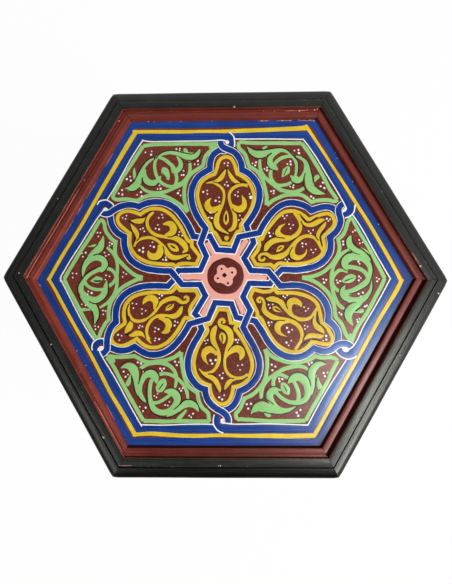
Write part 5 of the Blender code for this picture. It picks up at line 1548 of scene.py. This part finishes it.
corner_field(3, crown=[
    (-56.4, 125.2), (-52.6, 127.5), (-48.5, 130.1), (-44.4, 132.8), (-40, 136), (-30, 142), (-20, 147.7),
    (-10, 153.2), (0, 159.2), (10, 154), (20, 148.3), (30, 142.7), (40, 136), (45.2, 132.4),
    (49.9, 129.4), (53.4, 127.1), (57.4, 125),
], left_flank=(
    [(-55.8, 122.6), (-53.4, 119.8), (-50.4, 117.9), (-46.7, 116.2), (-43.3, 113.7), (-39.6, 110.3)],
    [(-36, 110.6), (-31.3, 110), (-26, 108.7), (-20.7, 106.3), (-16, 103.7), (-11.3, 99.7), (-7.3, 95.3),
     (-4, 90.7), (-2, 86), (-1.1, 80)],
), right_flank=(
    [(56.8, 122.5), (55.4, 119.6), (52, 118.6), (48.7, 117), (45.6, 114.6), (43, 112.8), (40.8, 111.1)],
    [(37.3, 111.7), (32.7, 111.9), (26.7, 111), (21.3, 109.3), (16.7, 107), (12.7, 104), (8.7, 99.3),
     (5.3, 94.7), (2.7, 90), (0.6, 85.3), (-0.8, 80)],
), strokes=[
    [(-3.6, 119.6, 0.8), (-7, 118.4, 2.6), (-11.4, 118, 3.5), (-15.4, 119.6, 3.9), (-18, 123.4, 4),
     (-18.7, 128.4, 3.6), (-17.6, 133.2, 3.3), (-15.2, 137.8, 3), (-11.6, 141, 2.8), (-7, 141.9, 2.7),
     (-2.8, 141.1, 2.5), (0.8, 139.2, 2.3), (4.6, 136, 2), (7.8, 131.6, 1.9), (10, 126.6, 1.9),
     (11.4, 122, 2.2), (11.2, 119, 2.2)],
    [(-2.6, 139.6, 1.8), (-5.6, 136.4, 1.9), (-7.7, 132, 1.9), (-8.9, 127, 1.9), (-9.2, 122.6, 1.8),
     (-9, 119.6, 1.4)],
    [(1.4, 142.8, 0.4), (6.5, 142.8, 1.4), (11.5, 141.6, 2.1), (15.6, 138.6, 2.6), (18, 134, 2.4),
     (19, 129, 2.6), (19, 124, 3), (17, 120, 3.3), (13.2, 118.2, 3), (9.4, 118.8, 2.4), (6.8, 121, 1.5),
     (5.6, 122.8, 0.5)],
    [(-45.2, 122.4, 0.4), (-42, 120.2, 2), (-37.6, 118.8, 3), (-33, 119.6, 3.4), (-29, 122.8, 3.5),
     (-26, 127, 3.2), (-23.4, 131.6, 2.9), (-20.6, 136.2, 2.8), (-17, 140, 2.2)],
    [(12, 141.6, 1.8), (17.4, 138.8, 2.6), (22, 134.6, 3.4), (26, 130.4, 4.6), (30, 126.6, 4.9),
     (34.4, 125, 3.8), (38.6, 125.8, 2.2), (42.6, 127.2, 0.4)],
    [(1.4, 129.6, 0.8), (1.5, 127.4, 2.8), (1.4, 123, 3.7), (1.6, 118.6, 2.8), (1.8, 116.2, 0.8)],
    [(-28.2, 140.4, 2), (-28.6, 137.4, 2.2), (-29.6, 133.6, 1.6), (-30.6, 130, 1.1), (-31, 127, 1)],
    [(27, 138.6, 1), (28.8, 137, 1.7), (30.2, 134.8, 1.2), (30.4, 132.6, 0.6)],
    [(-27.6, 119.4, 1.1), (-25.6, 115, 1.7), (-22, 111.4, 1.8), (-16.7, 108.6, 2), (-11.2, 106.9, 2),
     (-5.6, 105.8, 1.9), (0, 105.6, 1.8), (6, 106, 1.7)],
    [(27, 120, 1.3), (25, 116.6, 1.8), (21.6, 112.2, 1.9), (17, 108.9, 1.9), (11.4, 106.8, 1.9),
     (5.4, 106.2, 1.8), (0, 107, 1.7)],
    [(-6.6, 116.4, 1.6), (-4.6, 112.6, 1.7), (-1.6, 109.2, 1.7), (2.4, 107.2, 1.6)],
    [(10.4, 116, 1.8), (8.8, 112.2, 1.8), (5.8, 109, 1.8), (1.4, 107.4, 1.6)],
], lines=[
    [(-31.7, 128), (-28, 132.7), (-24, 136.7), (-20.7, 140), (-16, 142.9), (-11.3, 144.7), (-6, 144.7),
     (-0.7, 143), (3.3, 140.3, 0.5), (7.3, 136.7, 0.5), (10, 132.7), (12, 128), (13, 122.7)],
    [(-21.3, 133.3, 0.3), (-22.8, 129.2), (-23.2, 125, 0.5), (-21.3, 119.3), (-18, 116), (-13.3, 114.2),
     (-7.3, 115.3), (-3.3, 118.7)],
    [(-45, 121.4), (-42.7, 117.7), (-38, 115.5), (-32, 116), (-27.3, 118.7), (-24, 122.4)],
    [(1.4, 143.7), (6.7, 144.5), (12.7, 144), (18, 141.9), (23.3, 138.5), (28, 134.9), (31, 132)],
    [(19, 130.7, 0.45), (20.7, 126, 0.45), (23.3, 122, 0.45), (26, 120.2), (31.3, 119.2), (36.7, 120.9),
     (41.3, 124.8)],
    [(23, 122), (20.7, 118), (16.7, 115.3), (12, 114.9), (8, 117.1), (5.7, 120.7)],
    [(37.3, 128.7), (41.4, 127.7)],
    [(1.4, 126, 0.35), (1.3, 122.6, 0.5), (1.2, 119.4, 0.35)],
], dots=[
    (3.8, 151.7, 1.1), (-0.9, 148.1, 1), (3.6, 148.4, 1.1), (-42.1, 130.2), (-38.1, 131.9, 1),
    (-38.6, 128.6, 1), (-33.7, 114.2, 1.1), (-30.7, 114.6, 0.9), (-30.9, 112.9, 0.8), (-0.7, 113.5, 1.1),
    (2.7, 114, 1), (1.7, 111.6, 1), (42.5, 121.5, 1), (37.8, 118.9, 1.1), (41.7, 117.1, 1),
    (-1.1, 99.7, 1), (3.3, 101.3, 1), (1.1, 96.3, 1),
])
corner_field(4, crown=[
    (-61.8, 128.4), (-56, 130.9), (-50, 133.9), (-46, 136), (-40, 139.4), (-30, 145), (-20, 149.7),
    (-10, 154.7), (-0.7, 159.1), (6.7, 156), (16.7, 150.3), (26.7, 145), (36.7, 139), (43.3, 134),
    (48.5, 130.9), (53.2, 128.5), (57.9, 126.8), (62, 125.2),
], left_flank=(
    [(-60, 126.2), (-57.4, 124.2), (-54, 123), (-50, 121.9), (-46.7, 120.4), (-44, 118.8), (-41.3, 116),
     (-39.6, 114)],
    [(-36.7, 114.7), (-32, 115.3), (-27.3, 114.7), (-23.3, 113.3), (-19.3, 110.7), (-15.3, 108),
     (-11.3, 104), (-8, 100), (-5.3, 95.3), (-3.4, 90), (-2.4, 85.3), (-1.8, 78)],
), right_flank=(
    [(58.4, 122.8), (55.4, 120.6), (52, 119.1), (48.5, 117.8), (45, 116.4), (41.3, 113.8), (37.8, 110.6)],
    [(32.7, 109.7), (27.3, 109.3), (22, 107.7), (16.7, 105.3), (12.7, 102.7), (8.7, 98.7), (4.7, 94),
     (1.7, 88.7), (-0.2, 84), (-1.5, 78)],
), strokes=[
    [(53.6, 124.8, 0.8), (56.6, 124.4, 2.4), (59.6, 124.6, 1.6), (61.6, 125, 0.8)],
    [(-7.4, 122.6, 1), (-10, 120.9, 2.4), (-13.4, 120, 3.3), (-17.2, 120.4, 3.6), (-20.6, 123.4, 3.8),
     (-22.2, 128, 3.5), (-21.8, 133, 3.2), (-20.2, 137.8, 3), (-17.2, 141.8, 2.8), (-13, 144.3, 2.5),
     (-8, 145.2, 2.3), (-3, 144.6, 2.3), (1.6, 142.4, 2.7), (5.8, 138, 2.9), (9, 132.8, 2.7),
     (11.6, 127.4, 2.6), (13.4, 122.8, 2.8), (13.6, 119.4, 2.6)],
    [(-2.4, 142.6, 2), (-6, 140.4, 2), (-9, 136.8, 2), (-10.9, 132, 2), (-11.8, 127, 2),
     (-12.2, 122.4, 2.2)],
    [(1.4, 146.4, 0.4), (7, 146.1, 1.2), (12.4, 144.8, 1.9), (16.6, 141.8, 2.5), (19.4, 137.4, 2.8),
     (20.6, 132.2, 2.6), (20.6, 126.8, 2.7), (19.2, 121.4, 3.2), (15.8, 118, 3.4), (11.8, 117.4, 2.6),
     (8.4, 118.6, 1.6), (6.2, 120, 0.5)],
    [(-43.2, 127, 0.5), (-40.4, 125.4, 2.2), (-36.4, 124.8, 3), (-32.4, 126, 3.4), (-29, 129.4, 3.4),
     (-26.8, 133.6, 3.1), (-24.6, 137.8, 2.9), (-21.4, 141.6, 2.6), (-17.6, 144, 2)],
    [(15.6, 142.6, 1.6), (19.6, 139.4, 2.2), (23.2, 135, 2.6), (26.4, 130, 3.3), (30, 125.4, 3.9),
     (34.6, 123, 3.9), (39, 123.4, 3), (42.6, 125.2, 1.7), (45.6, 126.8, 0.4)],
    [(-3, 130.6, 1), (-2, 128.6, 3), (-0.4, 124.6, 3.9), (1.2, 120.6, 3), (2.4, 117.4, 0.7)],
    [(-24.6, 145, 0.3), (-27.6, 142, 0.9), (-29.6, 138.6, 1), (-31, 135.4, 0.7)],
    [(29.6, 137, 1), (30.8, 136.6, 1.9), (32, 133.6, 1.6), (32.6, 130.6, 0.8), (32.6, 128.6, 0.6)],
    [(-29.4, 124.6, 1), (-27.4, 120.6, 1.6), (-24.8, 117, 1.8), (-20.6, 113.6, 1.8), (-15.3, 110.4, 1.7),
     (-10, 108.3, 1.7), (-4.6, 107, 1.8), (1, 106.6, 1.7), (7, 106.8, 1.5)],
    [(29.6, 120.4, 1.2), (27.8, 116.4, 1.7), (24.2, 112.9, 1.8), (19.3, 110.4, 1.8), (14, 108.6, 1.8),
     (8, 107.4, 1.8), (2, 107.2, 1.7)],
    [(-6.2, 122.8, 0.7), (-8.4, 118.6, 1.2), (-8.8, 115, 1.7), (-6.6, 111.8, 1.8), (-3, 108.8, 1.8),
     (1.4, 107.6, 1.7)],
    [(12, 115.4, 1.7), (10.6, 112, 1.8), (7.4, 109.2, 1.8), (3, 107.8, 1.6)],
], lines=[
    [(-42.7, 127.9), (-38.7, 128.3), (-34.7, 130.7), (-31.3, 135.3), (-29.3, 138.3), (-25.3, 142),
     (-22, 145.3), (-16.7, 147.3), (-10, 148), (-3.3, 147), (0.7, 145.7), (4.7, 143.7, 0.5),
     (7.3, 141, 0.5), (10, 136.7), (12.7, 131.3), (14.3, 126.7), (15, 124)],
    [(-24.4, 135.4, 0.3), (-25.4, 131.4, 0.4), (-27, 128, 0.6), (-30, 124.8, 0.4)],
    [(-27, 127.4, 0.6), (-25.3, 122.6, 0.45), (-22, 118.4, 0.45), (-17.3, 116.4, 0.45),
     (-12.7, 117, 0.45), (-9.6, 119.4, 0.45), (-8, 122.8, 0.4)],
    [(1.4, 147), (6.7, 147.4), (12, 146.6), (16.7, 144.4), (20.7, 141.4), (24, 137.6), (28, 134.6),
     (32, 130.2)],
    [(23, 130.7, 0.45), (23.4, 126, 0.45), (25.4, 122.6, 0.45), (29.4, 119.6), (35.4, 118.6),
     (41.4, 120.4)],
    [(23, 122.6), (20.8, 118), (16.8, 114.8), (12.7, 114.4), (8.7, 116), (5.7, 119.4)],
    [(-42.4, 124), (-39.4, 121.8), (-34.6, 121.6), (-30.6, 123)],
    [(-1.4, 128.8, 0.3), (0.2, 125, 0.4), (1.2, 122.4, 0.6), (2.2, 119.6, 0.5)],
], dots=[
    (0.1, 153.5), (2.4, 151.8, 1), (-1.2, 151.2, 0.7), (-36.4, 138.2, 0.7), (-38.9, 134.9, 0.8),
    (-35.5, 135.5), (-48.5, 131, 0.9), (-47, 128.7, 0.8), (-37.5, 118.9, 1), (-34.5, 119.1, 1),
    (-17.3, 133.7, 1), (-15.1, 134.9), (-0.9, 135.8), (-2.5, 133.9, 1), (1.3, 133.7, 1), (13.5, 137.5, 1),
    (14.7, 133.3, 1), (16.9, 135.3, 0.6), (26.3, 141, 1), (27.2, 139.1, 1), (39.3, 133.5), (40.1, 131.3),
    (42.1, 131.9, 1), (2, 115.5, 1), (1.1, 111.9), (3.6, 112.9, 1), (34.9, 115.9, 1), (33.1, 114),
    (0.7, 101.7, 1), (-0.1, 98.8), (3.4, 99.5, 1.1),
])
corner_field(5, crown=[
    (-55.6, 129), (-52.5, 130.7), (-48.4, 132.5), (-40, 136.7), (-30, 142.3), (-20, 148), (-10, 153.3),
    (-0.3, 159), (10, 154.3), (20, 148.7), (30, 143), (40, 136.4), (49.4, 130.4), (53.5, 128.5),
    (58.8, 126),
], left_flank=(
    [(-55.2, 126.6), (-53.4, 124.2), (-51, 123), (-47.8, 122.3), (-45, 121.2), (-42, 119.1), (-38.7, 116),
     (-34.6, 112.2)],
    [(-30, 112.3), (-25.3, 111.7), (-20.7, 109.7), (-16, 106.7), (-11.3, 102.3), (-7.3, 98), (-4, 94),
     (-1.7, 90), (0.1, 86.4)],
), right_flank=(
    [(58, 123.8), (56, 122.5), (53.4, 122), (50, 120.7), (46.8, 118.9), (44, 116.9), (40.7, 114.3),
     (38, 111.2)],
    [(34, 111.9), (29.3, 112.7), (24, 112), (19.3, 109.7), (14.7, 106.7), (10.7, 103.7), (7.3, 99.3),
     (4, 94.7), (1.8, 90), (0.6, 86.4)],
), strokes=[
    [(-45.8, 129, 0.4), (-42, 127, 2), (-37.6, 126.4, 2.9), (-33, 127.4, 3.4), (-28.8, 130, 3.4),
     (-25, 133.6, 3), (-21.4, 137.6, 2.6), (-17.4, 141.2, 2.4), (-12.6, 143.6, 2.1), (-8, 144.1, 1.6),
     (-3.4, 143.2, 1.6), (0.8, 141.4, 1.6), (4.8, 138.4, 1.6), (7.9, 134.4, 1.7), (10, 130, 1.7),
     (11.3, 125.8, 2), (10.8, 122.6, 2)],
    [(-16, 140.4, 1.6), (-18.8, 136.4, 2.2), (-20, 131.6, 2.5), (-19.4, 127.4, 2.8), (-16.6, 124.4, 3.1),
     (-12.6, 123.8, 2.8), (-9.4, 123.4, 1.9), (-7.8, 123.2, 0.7)],
    [(-1, 142.6, 1.5), (-5.4, 140.6, 1.6), (-9.2, 137.2, 1.7), (-11.8, 133.2, 1.7), (-13.2, 128.8, 1.7),
     (-13.4, 125, 1.5)],
    [(-13.4, 120.6, 1.4), (-12.4, 116.8, 1.8), (-9.8, 113, 1.8), (-6, 110.4, 1.8), (-1, 109.2, 1.7)],
    [(1.4, 144.4, 0.6), (5.4, 145.2, 1.4), (9.8, 145, 1.8), (13.8, 142.8, 2.3), (16.4, 138.6, 2.4),
     (17.2, 133.6, 1.9), (17.2, 128.6, 2.1), (16, 124.8, 2.7), (12.8, 122.6, 3), (9.4, 123, 2.2),
     (6.4, 124.8, 0.6)],
    [(12.6, 143.6, 1.8), (17, 140.2, 2.5), (20.6, 135.6, 3), (23.4, 130.6, 3.6), (27, 126, 4),
     (31.6, 123.2, 3.8), (36.6, 122.8, 3.2), (41, 124, 2), (45.4, 125.8, 0.5)],
    [(-0.3, 131.8, 0.8), (0.2, 129.4, 2.6), (0.2, 126.4, 3.5), (-0.1, 122.8, 2.4), (-0.3, 119, 0.5)],
    [(-28.8, 139.2, 0.4), (-30.2, 137, 1.2), (-31.8, 134.6, 1)],
    [(31.2, 138.4, 1.2), (30.2, 136.4, 2.4), (29.6, 133.6, 2), (30.2, 130.8, 1)],
    [(-28.8, 124.4, 1), (-27, 120.6, 1.5), (-24.2, 116.4, 1.7), (-20.4, 112.8, 1.8), (-15.6, 110.4, 1.8),
     (-10, 109, 1.8), (-4, 107.8, 1.8), (2, 106.8, 1.8), (7, 106.2, 1.5)],
    [(24.6, 121, 1.4), (22.8, 117.2, 1.8), (19.8, 113.4, 1.9), (15.6, 110.4, 1.9), (10, 108.2, 1.9),
     (4.4, 107.2, 1.8), (-1, 107.8, 1.6)],
    [(10.4, 119.8, 1.4), (8.6, 116, 1.6), (5.4, 112.8, 1.6), (1.4, 110.2, 1.7), (-3, 109, 1.6)],
], lines=[
    [(-45.7, 129.7), (-40, 130), (-34, 132.2), (-29.3, 134.8), (-24.7, 138.2), (-20.7, 141.5),
     (-16, 144.5), (-10, 145.8), (-4, 144.3, 0.5), (0.7, 142.9, 0.5), (5.3, 140.9), (8.7, 136.7),
     (11, 132), (12.3, 127.4)],
    [(-21.3, 135.3, 0.5), (-23.3, 132, 0.7), (-24.4, 129.8, 0.4)],
    [(-22.7, 127.6), (-20.7, 123.4), (-16.7, 120.8), (-12, 120.6), (-8.7, 121.8)],
    [(-45, 126.8), (-41.4, 123.8), (-36.6, 122.8), (-31.4, 123), (-27.4, 125.4), (-25, 128.6)],
    [(6.7, 146.9), (12, 146.6), (16.7, 144), (20.7, 140), (24, 136.4), (26.7, 134, 0.6),
     (29.4, 130.6, 0.5)],
    [(18, 134, 0.4), (19.3, 128.6, 0.5), (21.4, 123.6, 0.5), (24.7, 120.6), (30, 119), (36, 119),
     (41.4, 121)],
    [(20.6, 123.2), (16.7, 120.4), (12.7, 119.4), (9.4, 120.2), (7.4, 122.8)],
    [(31.4, 127.4, 0.3), (37.4, 126.2, 0.3), (46, 125.9, 0.4)],
    [(-0.5, 129.8, 0.35), (-0.1, 126, 0.45), (0.6, 121, 0.35)],
], dots=[
    (0.3, 151.2, 1), (-2.8, 148.7, 0.8), (2.3, 148.7, 1.3), (-0.9, 137, 1), (0.8, 134.5, 1),
    (-2.3, 133.2), (-30.6, 119.3, 1), (-33.1, 116.5), (-29.8, 116, 1), (-18.1, 120.1, 1), (-19.9, 117.5),
    (-16.9, 117.5, 1.1), (13.8, 117.3, 0.8), (11.5, 114.4), (14.5, 115.1, 1), (37.9, 134, 1),
    (37.7, 129.7, 1), (42, 130, 1.1), (34.6, 116, 1), (37.5, 115.5, 1), (-0.7, 102.6, 1),
    (-2.9, 100.8, 0.9), (0.5, 100.3, 0.9),
])

# Wear
# Knocks and rubbing have chipped the paint of rail, bead and border down to the pale primer below.
# Each chip is a touch of the primer's colour, where the photograph shows it.
PRIMER = (222, 188, 177)
RUBBED_RED = (200, 134, 118)
RAIL_CHIPS = [
    [(11.5, 172.9, 0.8)], [(-95, 178.2, 0.5), (-12, 183.4, 0.4)],
    [(-75, 176.7, 0.7), (29, 177.8, 0.6), (-73.8, 177.1, 0.5)], [(3, 179.4, 0.5), (4.6, 179.5, 0.4)],
    [(-20, 184.6, 0.5), (-91, 188.2, 0.8)], [(86, 171.9, 0.9)],
]
RAIL_SCRATCHES = [[], [], [], [(88, 179.4, 101)], [], [(70, 171.8, 84)]]
FILLET_CHIPS = [
    [(41, 169.6, 0.35), (52, 169.4, 0.35), (77, 169.4, 0.9), (85, 170.6, 0.4), (92, 170.4, 0.6),
     (95, 171.2, 0.5)],
    [(-95, 170.4, 0.5), (-93, 169.7, 0.4), (18, 171, 0.45), (87, 171.6, 0.6)], [(-8, 167, 0.35)], [], [],
    [],
]
FILLET_SCRATCHES = [
    [(62, 169.6, 75), (78, 169.6, 84)],
    [(-97, 170.8, -84), (-90, 171, -62), (-66, 171, -38), (-44, 170.9, -14), (-20, 171.1, 8)],
    [(-96, 168.6, -70), (-76, 168.4, -40)], [], [], [(60, 167.6, 94)],
]
FOOT_CHIPS = [
    [(39, 161.2, 0.6), (44, 161.2, 0.5), (60, 161.2, 0.6), (68, 161.1, 0.5)], [],
    [(88, 161.2, 0.5), (86.4, 160.8, 0.4)], [], [], [],
]
FOOT_SCRATCHES = [
    [(36, 161.1, 47), (54, 161.1, 70), (76, 160.9, 92)],
    [(-40, 161.1, -22), (-16, 161, -4), (2, 161.1, 22), (40, 161.2, 56)], [(-66, 161.1, -48)], [], [], [],
]
BORDER_CHIPS = [
    [(-76, 161.6, 0.5), (-70, 162, 0.5), (-54, 162, 0.5), (-43, 161.4, 0.4), (-11, 161.6, 0.4),
     (77, 162, 0.6), (88, 161.4, 0.6)],
    [(-10, 162, 0.6), (20, 162.2, 0.4)], [(-5, 160.2, 0.5), (12, 160.8, 0.5), (-18, 161.6, 0.4)], [], [],
    [(-93, 159.8, 0.7), (-48, 160, 0.5), (-20, 161, 0.6), (30, 160.8, 0.6), (-54, 161.2, 0.5)],
]

primer = paint("primer_paint", PRIMER, along_strokes, 0.20, 0.10, 0.5, 0.2)
rubbed_red = paint("rubbed_red_paint", RUBBED_RED, along_strokes, 0.30, 0.20, 0.5, 0.2)
wear_levels = [
    (TABLE_HEIGHT, RAIL_CHIPS, RAIL_SCRATCHES, 0.22),
    (OUTER_LEVEL + 0.0004, FILLET_CHIPS, FILLET_SCRATCHES, 0.34),
    (PANEL_TOP + 0.0003, FOOT_CHIPS, FOOT_SCRATCHES, 0.26),
]
for k in range(SIDES):
    chips, rubs = [], []
    for level, chip_spots, scratches, half_width in wear_levels:
        lift = (level - PANEL_TOP) / MM + 0.1
        chips += [[(*spot, lift) for spot in dot(*chip)] for chip in chip_spots[k]]
        for start, away, end in scratches[k]:
            middle = ((start + end) / 2, away + 0.1, half_width, lift)
            rubs.append(smooth([(start, away, 0.1, lift), middle, (end, away, 0.1, lift)], 1.5))
    specks = [dot(x, y, 0.7 * radius) for x, y, radius in BORDER_CHIPS[k]]
    wear = [("chips", chips, primer, "rim_paint"), ("rubs", rubs, rubbed_red, "bead_paint"),
            ("specks", specks, white_lines, "panel_paint")]
    for name, strokes, finish, slot in wear:
        if strokes:
            painted(f"side_{k + 1}_{name}", strokes, finish, panel_place(60 * k), 0.25)

# Stage
# A pale floor under the table, a window at the right and a dim room for light, and a camera that looks
# straight down. Three more lamps show only in the gloss of the paint.
FLOOR_SIZE = 8.0
FLOOR_GLOW = 0.97
ROOM_LIGHT = 0.31
OVERHEAD_LIGHT = 0.0
NEAR_LIGHT = 0.10
CAMERA_PLACE = (0.0163, -0.0547, 1.0332)
CAMERA_TURN = (4.313, 1.415, -0.144)
LENS = 35.0
TABLE_AIM = (0.0, 0.0, 0.47)


def gloss_rays(rays, tree):
    """1 for rays that reach the backdrop by way of gloss or glass."""
    return math_node(tree, "MAXIMUM", rays["Is Glossy Ray"], rays["Is Transmission Ray"])


bpy.ops.object.select_all(action="DESELECT")
bpy.ops.mesh.primitive_plane_add(size=FLOOR_SIZE, location=(0, 0, 0))
floor = bpy.context.object
floor.name = "floor"
floor_finish, tree, shader = new_finish("pale_floor", 0.9, 0.1)
shader.inputs["Base Color"].default_value = (0.9, 0.9, 0.9, 1.0)
glow = node(tree, "ShaderNodeEmission", {"Color": (1.0, 1.0, 1.0, 1.0), "Strength": 1.0})
rays = node(tree, "ShaderNodeLightPath", {}).outputs
seen = math_node(tree, "MAXIMUM", rays["Is Camera Ray"], gloss_rays(rays, tree))
share = math_node(tree, "MULTIPLY", seen, FLOOR_GLOW)
mix = node(tree, "ShaderNodeMixShader", {0: share, 1: shader.outputs[0], 2: glow.outputs[0]})
tree.links.new(mix.outputs[0], tree.nodes["Material Output"].inputs["Surface"])
floor.data.materials.append(floor_finish)

world = bpy.data.worlds.new("room_light")
bpy.context.scene.world = world
world.use_nodes = True
tree = world.node_tree
room = tree.nodes["Background"]
room.inputs["Color"].default_value = (1.0, 1.0, 1.0, 1.0)
towards = node(tree, "ShaderNodeTexCoord", {}).outputs["Generated"]
heading = node(tree, "ShaderNodeSeparateXYZ", {"Vector": towards}).outputs
overhead = spread(tree, heading["Z"], 0.90, 0.975, 1.0, OVERHEAD_LIGHT)
far_side = math_node(tree, "ADD", heading["X"], heading["Y"])
far_light = spread(tree, far_side, -0.5, 0.5, NEAR_LIGHT, 1.0)
mirrored_room = math_node(tree, "MULTIPLY", overhead, far_light)
rays = node(tree, "ShaderNodeLightPath", {}).outputs
unseen = spread(tree, gloss_rays(rays, tree), 0.0, 1.0, ROOM_LIGHT, mirrored_room)
tree.links.new(spread(tree, rays["Is Camera Ray"], 0.0, 1.0, unseen, 1.0), room.inputs["Strength"])


def soft_lamp(name, place, aim, size, power):
    bpy.ops.object.light_add(type="AREA", location=place)
    lamp = bpy.context.object
    lamp.name = name
    lamp.data.size = size
    lamp.data.energy = power
    lamp.rotation_euler = (Vector(aim) - Vector(place)).to_track_quat("-Z", "Y").to_euler()
    return lamp


window = soft_lamp("window", (1.117, -0.407, 1.54), TABLE_AIM, 0.58, 28.0)
window.visible_glossy = False
skylight = soft_lamp("skylight", (0.621, -0.319, 2.28), TABLE_AIM, 0.39, 14.5)
window_glint = soft_lamp("window_glint", (0.84, -0.711, 1.636), (0.127, -0.154, 0.478), 0.52, 15.0)
doorway = soft_lamp("doorway", (-0.79, -0.674, 1.667), (-0.13, -0.145, 0.477), 0.6, 4.2)
for lamp in (skylight, window_glint, doorway):
    lamp.visible_diffuse = False

bpy.ops.object.camera_add(location=CAMERA_PLACE, rotation=[math.radians(t) for t in CAMERA_TURN])
camera = bpy.context.object
camera.data.lens = LENS
bpy.context.scene.camera = camera
bpy.context.scene.view_settings.view_transform = "Standard"

bpy.data.objects.remove(brush_tip)
